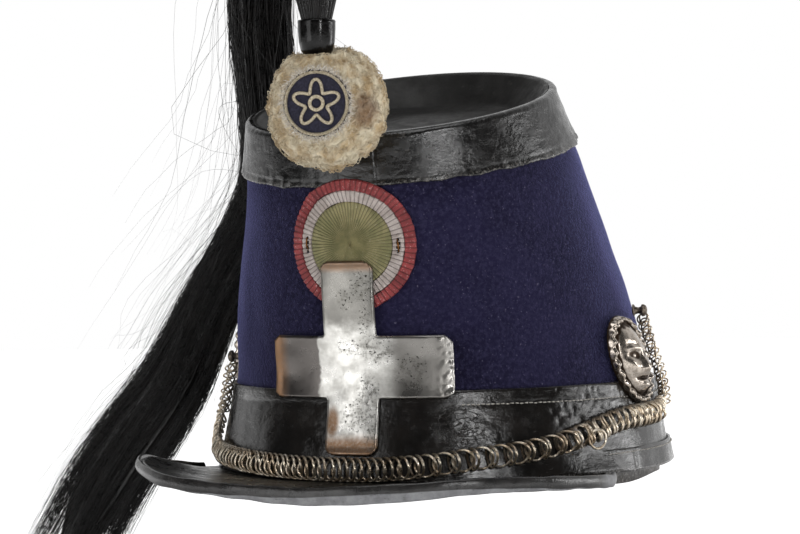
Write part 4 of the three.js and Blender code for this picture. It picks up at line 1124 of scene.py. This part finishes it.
def pompom():
    """Lumpy wool ball under a layer of fibres."""
    material = wool_material()
    tilt = np.linspace(0.004, np.pi - 0.004, 116)[:, None]
    turn = full_turn(210)[None, :]
    directions = np.stack(np.broadcast_arrays(
        np.sin(tilt) * np.sin(turn), -np.sin(tilt) * np.cos(turn), np.cos(tilt)), -1)
    add_shell("pompom_ball", pompom_surface(directions), material, "cream_wool", "pompom")
    add_parts("pompom_fibres", wool_fibres(2700), material, "cream_wool")


def wool_fibres(count):
    """Short curled fibres on the pompom, apart from its badge."""
    rng = np.random.default_rng(86)
    directions = unit(rng.normal(size=(count, 3)))
    side = unit(np.cross(directions, rng.normal(size=(count, 3))))
    other = np.cross(directions, side)
    run = np.linspace(0, 1, 6)[None, :, None]
    length = rng.uniform(0.001, 0.0042, (count, 1, 1)) / 0.024
    curl = rng.uniform(0.5, 2.6, (count, 1, 1))
    lift = 0.0007 * np.sin(np.pi * run) + rng.uniform(0, 0.0006, (count, 1, 1)) * run
    start = directions[:, None] + side[:, None] * run * length * np.cos(curl * run)
    start = unit(start + other[:, None] * run * length * np.sin(curl * run))
    paths = pompom_surface(start) + start * (lift + 0.0001)
    ahead = (paths.mean(1) - POMPOM_MIDDLE) @ BADGE_OUT
    radius = 0.00015 * np.array([1, 1.1, 1, 0.9, 0.7, 0.3])
    return [tube(path, radius, 3) for path in paths[ahead < BADGE_BACK - 0.0014]]


def badge_point(across, up, out):
    """Point on the badge: sideways, up and out from its middle."""
    return (POMPOM_MIDDLE + BADGE_OUT * (BADGE_BACK + out)[..., None] + BADGE_SIDE * across[..., None]
            + UP * up[..., None])


def badge():
    """Round cloth badge with a frayed edge and, on it, a rosette and two rings of twisted cord."""
    radius, thick = BADGE_DIAMETER / 2, BADGE_THICKNESS
    profile = spaced(((0.0001, thick), 21), ((radius - 0.0008, thick), 1),
                     ((radius - 0.0004, thick - 0.0003), 1), ((radius, thick - 0.0008), 1),
                     ((radius, 0.0006), 1), ((radius - 0.0006, 0.0), 1), ((0.0001, 0.0), 0))
    reach, out = profile.T[:, :, None]
    angle = full_turn(160)[None, :]
    reach = reach * (1 + ring_waves(angle, 1, 0.3, 91) * 0.00025 / radius)
    s = Shade("badge_cloth")
    fine = s.noise(0.0008, 4, 0.7)
    cloth = s.finish(Base_Color=s.mottled(fine, (0.009, 0.0085, 0.02), (0.03, 0.028, 0.055)),
                     Roughness=0.95, Sheen_Weight=0.25, Normal=s.bump(fine, 0.0003, 0.7))
    points = badge_point(reach * np.sin(angle), reach * np.cos(angle), out + 0 * angle)
    add_shell("badge_cloth", points, cloth, "blue_cloth", "badge_disc", caps=False)
    frayed = cord_material("badge_fringe_thread", (0.5, 0.44, 0.36), (0.85, 0.8, 0.72))
    add_parts("badge_fringe", fringe(radius), frayed, "cream_wool")
    gold = cord_material("badge_cord_thread", (0.42, 0.35, 0.23), (0.72, 0.64, 0.5))
    turn = full_turn(420)
    flower = ROSETTE_RADIUS + ROSETTE_WAVE * np.cos(5 * turn)
    cords = []
    for reach, twists in ((flower, 260), (0.0024, 60), (radius - 0.0011, 300)):
        cords += twisted_cord(reach * np.sin(turn), reach * np.cos(turn), turn * round(twists / 2))
    add_parts("badge_cording", cords, gold, "gold_cord", "badge_cord")


def fringe(radius):
    """Loose threads round the badge's edge."""
    rng = np.random.default_rng(92)
    tufts = []
    for turned in rng.uniform(0, 2 * np.pi, 420):
        start = radius - rng.uniform(0.0, 0.0008)
        far = start + np.linspace(0, rng.uniform(0.0008, 0.0028), 5)
        bend = turned + np.linspace(0, rng.normal(0, 0.13), 5)
        lift = BADGE_THICKNESS + np.array([-0.0002, 0.0004, 0.0007, 0.0006, 0.0]) + rng.uniform(0, 0.0005)
        strand = badge_point(far * np.sin(bend), far * np.cos(bend), lift)
        tufts.append(tube(strand, 0.00013 * np.array([1, 1.1, 1, 0.8, 0.3]), 3))
    return tufts


def twisted_cord(across, up, spin):
    """Two strands twisted round a closed line on the badge."""
    height = BADGE_THICKNESS + GAP + BADGE_CORD * 0.5
    along_x, along_y = np.gradient(across), np.gradient(up)
    length = np.hypot(along_x, along_y)
    strands = []
    for phase in (0, np.pi):
        shift = BADGE_CORD * 0.45 * np.cos(spin + phase)
        path = badge_point(across + along_y / length * shift, up - along_x / length * shift,
                           height + BADGE_CORD * 0.45 * np.sin(spin + phase))
        strands.append(tube(path, BADGE_CORD * 0.5, 4, closed=True))
    return strands


def socket():
    """Glossy turned cup for the plume, with a small foot and a rolled mouth."""
    foot, mouth = SOCKET_FOOT / 2, SOCKET_TOP / 2
    floor, top = SOCKET_HEIGHT - SOCKET_DEPTH, SOCKET_HEIGHT
    profile = [(0.0001, 0), (foot - 0.0006, 0), (foot + 0.0009, 0.0006), (foot + 0.0019, 0.002),
               (mouth - 0.0004, 0.0052), (mouth - 0.0001, 0.0098), (mouth - 0.0001, top - 0.0012),
               (mouth, top - 0.0005), (mouth - 0.0003, top), (mouth - SOCKET_WALL, top - 0.0002),
               (foot - 0.0002, floor), (0.0001, floor)]
    reach, height = np.array(profile).T[:, :, None]
    angle = full_turn(72)[None, :]
    points = SOCKET_BASE + np.stack(np.broadcast_arrays(
        reach * np.cos(angle), reach * np.sin(angle), height), -1)
    s = Shade("socket_gloss")
    tone = s.mottled(s.noise(0.003, 4), (0.0025, 0.0023, 0.0023), (0.008, 0.0075, 0.0075), 0.4, 0.7)
    rough = s.span(s.noise(0.002, 4, 0.7), 0.35, 0.75, 0.1, 0.28)
    gloss = s.finish(Base_Color=tone, Roughness=rough, Specular_IOR_Level=0.25,
                     Normal=s.bump(s.noise(0.0015, 3), 0.0002, 0.3))
    add_shell("plume_cup", points, gloss, "black_gloss", "plume_socket", caps=False)


# Plume

def plume_points():
    """Points that the plume's middle runs through, from the socket's floor to its tail."""
    mouth = SOCKET_MOUTH
    root = mouth + np.array([0, 0, GAP - SOCKET_DEPTH])
    passing = BOSS_MIDDLE + BOSS_HEIGHT / 2 + PLUME_OVER_BOSS
    points = [root, mouth]
    for aside, back, rise, drop, tail, wall in PLUME_ROUTE:
        z = mouth[2] + PLUME_RISE * rise - (mouth[2] - passing) * drop - (passing + PLUME_TAIL) * tail
        start = crown_point(level_at(-np.pi / 2, z), -np.pi / 2)[..., 0] if wall else mouth[0]
        points.append(np.array([start - PLUME_ASIDE * aside, mouth[1] + PLUME_BACK * back, z]))
    return np.array(points)


def smooth_path(points, count):
    """Evenly spaced points on a centripetal curve through the given ones."""
    ends = np.concatenate([[2 * points[0] - points[1]], points, [2 * points[-1] - points[-2]]])
    dense = []
    for a, b, c, d in zip(ends[:-3], ends[1:-2], ends[2:-1], ends[3:]):
        pairs = ((a, b), (b, c), (c, d))
        first, middle, last = (max(np.linalg.norm(q - p) ** 0.5, 1e-4) for p, q in pairs)
        start = ((b - a) / first - (c - a) / (first + middle) + (c - b) / middle) * middle
        end = ((c - b) / middle - (d - b) / (middle + last) + (d - c) / last) * middle
        t = np.linspace(0, 1, 60, endpoint=False)[:, None]
        dense.append((2 * t ** 3 - 3 * t ** 2 + 1) * b + (t ** 3 - 2 * t ** 2 + t) * start
                     + (3 * t ** 2 - 2 * t ** 3) * c + (t ** 3 - t ** 2) * end)
    dense = np.concatenate([*dense, points[-1:]])
    place = np.concatenate([[0], np.cumsum(np.linalg.norm(np.diff(dense, axis=0), axis=1))])
    at = np.linspace(0, place[-1], count)
    return np.stack([np.interp(at, place, dense[:, axis]) for axis in range(3)], -1)


PLUME_PATH = smooth_path(plume_points(), 241)
PLUME_TANGENT = unit(np.gradient(PLUME_PATH, axis=0))
PLUME_SIDE = unit(np.cross(PLUME_TANGENT[0], np.eye(3)[np.argmin(np.abs(PLUME_TANGENT[0]))]))
PLUME_NORMAL = carried(PLUME_TANGENT, np.cross(PLUME_TANGENT[0], PLUME_SIDE))
PLUME_BINORMAL = np.cross(PLUME_TANGENT, PLUME_NORMAL)


def plume_place(along, reach, angle):
    """Point of the bundle at a place along it; reach 1 is its outside."""
    at = np.clip(along, 0, 1) * (len(PLUME_PATH) - 1)
    low = np.clip(at.astype(int), 0, len(PLUME_PATH) - 2)
    share = (at - low)[..., None]

    def between(values):
        return values[low] * (1 - share) + values[low + 1] * share

    width, thick = curve(PLUME_ROWS, along)
    return (between(PLUME_PATH)
            + between(PLUME_NORMAL) * (PLUME_THICKNESS / 2 * thick * reach * np.cos(angle))[..., None]
            + between(PLUME_BINORMAL) * (PLUME_WIDTH / 2 * width * reach * np.sin(angle))[..., None])


def hair_material():
    s = Shade("horse_hair")
    base = s.mottled(s.noise(0.006, 3, 0.6), (0.0022, 0.0018, 0.0017), (0.0085, 0.0068, 0.0062))
    rough = s.span(s.noise(0.003, 3), 0.3, 0.7, 0.24, 0.42)
    return s.finish(Base_Color=base, Roughness=rough, Specular_IOR_Level=0.5,
                    Normal=s.bump(s.noise(0.0012, 3), 0.0002, 0.4))


def strands(count, steps, seed, reach_low, reach_high, length_low, length_high, thick, stray=0.0):
    """Mesh of many three-sided hairs that follow the bundle, or stray from it by a distance."""
    rng = np.random.default_rng(seed)
    run = np.linspace(0, 1, steps)[None, :]
    end = rng.uniform(length_low, length_high, (count, 1))
    start = rng.uniform(0.0, 0.008, (count, 1))
    if stray:
        start = rng.uniform(0.0, 0.55, (count, 1))
    along = start + (end - start) * run
    angle = rng.uniform(0, 2 * np.pi, (count, 1))
    lock = np.round(angle / (2 * np.pi) * HAIR_LOCKS) / HAIR_LOCKS * 2 * np.pi
    gather = rng.uniform(0.0, 0.55, (count, 1)) * smoothstep(along, 0.15, 0.5)
    angle = angle + (lock - angle) * gather + 0.35 * np.sin(5.2 * along + 4 * lock) * along
    reach = np.sqrt(rng.uniform(reach_low ** 2, reach_high ** 2, (count, 1)))
    flare = 1 + 0.1 * rng.normal(size=(count, 1)) * smoothstep(along, 0.55, 1.0)
    points = plume_place(along, reach * flare, angle)
    for size, share in ((0.2, 0.0014), (0.07, 0.0007), (0.025, 0.00022)):
        phase = rng.uniform(0, 2 * np.pi, (count, 1, 3))
        wave = np.sin(along[..., None] * PLUME_RUN / size * 2 * np.pi + phase + lock[..., None])
        points = points + wave * share * smoothstep(along, 0.03, 0.3)[..., None]
    if stray:
        away = unit(rng.normal(size=(count, 1, 3)) + np.array([-0.9, -0.1, -0.1]))
        bend = smoothstep(run, rng.uniform(0.05, 0.6, (count, 1)), 1.0)[..., None]
        size = stray * rng.uniform(0.1, 1, (count, 1, 1)) ** 2 * (1 + 1.8 * (end < 0.78))[..., None]
        points = points + away * bend * size
        curl = np.cross(away, rng.normal(size=(count, 1, 3)))
        points = points + curl * np.sin(bend * rng.uniform(1, 5, (count, 1, 1))) * size * 0.5
    tangent = unit(np.gradient(points, axis=1))
    side = unit(np.cross(tangent, rng.normal(size=(count, 1, 3))))[:, :, None]
    other = np.cross(tangent[:, :, None], side)
    taper = (thick * rng.uniform(0.6, 1.3, (count, 1)) * (1 - 0.85 * run ** 3))[..., None, None]
    around = (np.arange(3) * 2 * np.pi / 3)[None, None, :, None]
    rings = points[:, :, None] + taper * (side * np.cos(around) + other * np.sin(around))
    base = grid_faces(steps, 3, wrap_columns=True)
    faces = (base[None] + (np.arange(count) * steps * 3)[:, None, None]).reshape(-1, 4)
    return rings.reshape(-1, 3), faces


def plume():
    """Ridged core under three layers of hair, and single stray hairs."""
    material = hair_material()
    along = np.linspace(0.0, 0.985, 110)[:, None]
    angle = full_turn(80)[None, :]
    ridge = 0.76 + 0.07 * np.sin(9 * angle + 5 * along) + 0.05 * np.sin(23 * angle - 9 * along)
    ridge = ridge * (1 - smoothstep(along, 0.86, 0.985) * 0.8)
    points = plume_place(along + 0 * angle, ridge, angle + 0 * along)
    add_shell("plume_core", points, material, "black_hair", "plume")
    for name, *values in PLUME_LAYERS:
        points, faces = strands(*values)
        show(add_piece(name, points, faces, material), "black_hair")


# Bosses

def mask_height(x, y):
    """Relief of a boss by its place across and up, each from -1 to 1, in shares of its relief."""
    reach = np.hypot(x, y)
    turn = np.arctan2(x, y)

    def bump(at_x, at_y, wide, high, tall):
        return tall * bell(x, at_x, wide) * bell(y, at_y, high)

    def pair(at_x, at_y, wide, high, tall):
        return bump(at_x, at_y, wide, high, tall) + bump(-at_x, at_y, wide, high, tall)

    oval = np.hypot(x / 0.76, (y - 0.02) / 0.85)
    face = 0.58 * np.sqrt(np.clip(1 - oval ** 2, 0, 1)) + bump(0, 0.44, 0.4, 0.2, 0.08)
    face = face + pair(0.25, 0.27, 0.18, 0.06, 0.1) + bump(0, 0.05, 0.12, 0.34, 0.16)
    face = face + bump(0, -0.2, 0.27, 0.18, 0.24) + pair(0.42, -0.1, 0.16, 0.18, 0.1)
    face = face + bump(0, -0.58, 0.2, 0.1, 0.2) - pair(0.28, 0.11, 0.17, 0.09, 0.13)
    face = face + pair(0.27, 0.11, 0.09, 0.055, 0.1) - bump(0, -0.42, 0.27, 0.045, 0.22)
    inside = 1 - smoothstep(oval, 0.92, 1.03)
    locks = 0.5 + 0.5 * np.sin(22 * turn + 14 * (reach - 0.9))
    bead = np.sqrt(np.clip(1 - ((reach - 0.91) / 0.09) ** 2, 0, 1))
    return face * inside + (1 - inside) * (0.04 + (0.2 + 0.14 * locks) * bead)


def boss(side, angle, material):
    """Lion mask in relief in an oval rim of locks; it stores how deep each point lies."""
    share = np.linspace(0.004, 1, 92)[:, None]
    turn = full_turn(220)[None, :]
    x, y = share * np.sin(turn), share * np.cos(turn)
    height = mask_height(x, y)
    least = 0.0004
    ends = 1 - smoothstep(share, 0.97, 1.0)
    grain = waves(np.stack([x, y], -1), 0.2, 111) * 0.00004
    relief = np.maximum(least + (BOSS_RELIEF * 0.98 * height + grain) * ends, least)
    relief = np.concatenate([relief, 0 * relief[-1:]])

    def around(reach):
        steps = ((reach, 0), (-reach, 0), (0, reach), (0, -reach))
        return sum(mask_height(x + a, y + b) for a, b in steps) / 4

    hollow = around(0.05) + 0.6 * around(0.14) - 1.6 * height
    low = smoothstep(hollow + 0.12 * (0.3 - height), -0.07, 0.1)
    x, y, low = (np.concatenate([part, part[-1:]]) for part in (x, y, low))
    low[-1] = 1
    points = wall_point(angle, BOSS_WIDTH / 2 * x, BOSS_MIDDLE + BOSS_HEIGHT / 2 * y,
                        OUTER_LEATHER + GAP + relief)
    add_shell("boss_" + side + "_mask", points, material, "tarnished_silver", "boss_" + side,
              place=np.stack([x, y, low], -1))


def boss_material():
    """Silvered metal, bright on what stands out and brown in what lies deep."""
    s = Shade("boss_metal")
    fine = s.noise(0.001, 4, 0.7)
    base = s.mottled(fine, (0.56, 0.5, 0.44), (0.33, 0.28, 0.23))
    low = s.part(s.place(), "Z")
    dark = s.span(s.plus(low, s.times(s.noise(0.002, 3), 0.3)), 0.32, 0.68)
    base = s.mix(dark, base, (0.05, 0.034, 0.024))
    rough = s.plus(s.times(dark, 0.3), s.span(fine, 0.3, 0.7, 0.16, 0.32))
    return s.finish(Base_Color=base, Metallic=1.0, Roughness=rough, Normal=s.bump(fine, 0.00004, 0.5))


# Chain

def chain_material():
    """Steel with rust in spots. The half of each ring next to the hat is darkened with painted shade."""
    s = Shade("chain_steel")
    fine = s.noise(0.0012, 4, 0.7)
    base = s.mottled(s.noise(0.006, 3), (0.9, 0.81, 0.67), (0.62, 0.5, 0.36), 0.38, 0.64)
    base = s.mix(s.span(fine, 0.52, 0.68, 0, 0.8), base, (0.13, 0.07, 0.04))
    # Painted shade on the half of each ring next to the hat.
    base = s.mix(s.span(s.part(s.place(), "Z"), -0.4, 0.1, 0.85, 0), base, (0.03, 0.021, 0.015))
    return s.finish(Base_Color=base, Metallic=1.0, Roughness=s.span(fine, 0.3, 0.7, 0.2, 0.46),
                    Normal=s.bump(fine, 0.0001, 0.6))


def bearing_of(point):
    """Degrees from the front towards the wearer's left."""
    return np.degrees(np.arctan2(point[..., 0], -point[..., 1]))


def chain():
    """Double rings, small where each end climbs to its stud.

    They lie close at the wearer's right, open out past the middle and twist at the left.
    """
    stand = OUTER_LEATHER + GAP + CHAIN_DIAMETER / 2
    route = np.array([wall_point(math.radians(a), 0.0, h, stand * o) for a, h, o in CHAIN_ROWS])
    last = 1200
    path = smooth_path(route, last + 1)
    length = np.linalg.norm(np.diff(path, axis=0), axis=1).sum()
    rng = np.random.default_rng(121)
    turn = full_turn(24)
    rings, painted_shade_depths = [], []

    def ring(at, wide, high, yaw, twist, lean, tip=0.0, low=0.0, out=0.0, wire=0.0005):
        place = np.clip(at / length, 0.002, 0.998) * last
        base = int(place)
        middle = path[base] + (path[base + 1] - path[base]) * (place - base)
        along = unit(path[min(base + 8, last)] - path[max(base - 8, 0)])
        away = middle - np.array([0.0, 0.012, middle[2]])
        away = unit(away - along * (away @ along))
        across = np.cross(away, along)
        across = across * (1 if across[2] > -0.02 else -1)
        x, y = wide * np.cos(turn), high * np.sin(turn)
        x, y = x * math.cos(lean) + y * math.sin(lean), y * math.cos(lean) - x * math.sin(lean)
        depth = x * math.sin(yaw) + wide * math.sin(twist) * np.sin(2 * turn) * 0.5 + y * math.sin(tip)
        aside, above = (x * math.cos(yaw))[:, None], (y * math.cos(tip) - low)[:, None]
        points = middle + along * aside + across * above + away * (depth + out)[:, None]
        rings.append(tube(points, wire * (1 + 0.06 * np.sin(turn * 2)), 6, closed=True))
        painted_shade_depths.append(np.repeat((depth + out) / wide, 6))

    at = 0.0
    while at < length:
        bearing = bearing_of(path[int(np.clip(at / length, 0, 0.999) * last)])
        shake = rng.normal(0, 0.05, 6)
        if at < CHAIN_RIGHT_END or bearing > CHAIN_LEFT_END:
            ring(at, 0.0025, 0.0021, 0.1 + 2 * shake[0], 0.5, 0.3, tip=0.75 + shake[1], wire=0.00036)
            ring(at + 0.0016, 0.0023, 0.002, 0.5 + 2 * shake[2], 0.5, -0.4, tip=2.1 + shake[3],
                 wire=0.00034)
            at += 0.0032 + 0.0002 * shake[4]
            continue
        turned = math.radians(np.clip(bearing - CAMERA_TURN, -58, 62))
        opened = float(smoothstep(bearing, *CHAIN_OPENS) * (1 - smoothstep(bearing, *CHAIN_CLOSES)))
        twisted = float(smoothstep(bearing, *CHAIN_TWISTS))
        pitch = 0.0058 + 0.0014 * opened - 0.001 * twisted
        high = 0.0044 - 0.0004 * opened
        lean, twist = 0.5 - 0.2 * opened + 0.05 * twisted, 0.5 + 0.5 * twisted
        yaw = turned + math.radians(45 - 38 * opened - 112 * twisted)
        ring(at, 0.0041, high, yaw + shake[0], twist, lean + shake[1])
        yaw = turned + math.radians(45 + 24 * opened - 112 * twisted)
        ring(at + pitch * (0.5 - 0.27 * twisted), 0.004, high, yaw + shake[2], twist, lean + shake[3],
             out=0.0003 * opened)
        at += pitch
    loose = np.argmin(np.abs(bearing_of(path) - CHAIN_LOOSE_RING))
    ring(loose / last * length, 0.0037, 0.0036, 0.25, 0.1, 0.0, low=0.0022, out=0.0036)
    # Each point's depth, kept for the painted shade in the chain's material.
    place = np.concatenate(painted_shade_depths)[:, None] * UP
    add_parts("chin_chain_rings", rings, chain_material(), "chain_steel", "chin_chain", place=place)


def studs():
    """Small turned studs that hold the chain's ends: a flange, a neck and a rounded head."""
    s = Shade("stud_metal")
    tone = s.mottled(s.noise(0.001, 3), (0.1, 0.08, 0.065), (0.3, 0.25, 0.2), 0.35, 0.65)
    rough = s.span(s.noise(0.002, 3), 0.3, 0.7, 0.35, 0.6)
    metal = s.finish(Base_Color=tone, Metallic=0.9, Roughness=rough,
                     Normal=s.bump(s.noise(0.0006, 3), 0.0001, 0.6))
    radius = STUD_DIAMETER / 2
    turn = full_turn(36)[:, None]
    for side, end, before in (("right", *CHAIN_ROWS[:2]), ("left", *CHAIN_ROWS[:-3:-1])):
        angle = math.radians(end[0])
        height = end[1] + math.copysign(radius + GAP, end[1] - before[1])
        foot = wall_point(angle, 0.0, height, STUD_FOOT)
        out = unit(wall_point(angle, 0.0, height, 0.02) - foot)
        aside = unit(np.cross(UP, out))
        around = aside * np.cos(turn) + np.cross(out, aside) * np.sin(turn)
        points = np.array([foot + out * STUD_LENGTH * far + around * radius * wide
                           for wide, far in STUD_PROFILE])
        add_shell("stud_" + side, points, metal, "chain_steel", "chain_stud_" + side)


add_camera()
add_lamps()
add_studio()
add_floor()
felt_crown()
top_band()
top_panel()
base_band()
edge_strip()
sweatband()
peak()
peak_binding()
cross_plate()
cockade()
pompom()
badge()
socket()
plume()
metal = boss_material()
boss("left", BOSS_LEFT, metal)
boss("right", BOSS_RIGHT, metal)
chain()
studs()

thread = cord_material("stitch_thread", (0.3, 0.28, 0.25), (0.66, 0.63, 0.58))
stitches("band_stitches", BAND_STITCH_HEIGHT, 0.49, 2 * np.pi - 1.3, OUTER_LEATHER, 0.0019, 0.00026,
         thread)
stitches("strip_stitches", STRIP_STITCH_HEIGHT, PEAK_SPAN + 0.1, 2 * np.pi - PEAK_SPAN - 0.1,
         OUTER_LEATHER + GAP + STRIP_LEATHER, 0.0016, 0.00024, thread)

bpy.context.scene.view_settings.view_transform = "Standard"
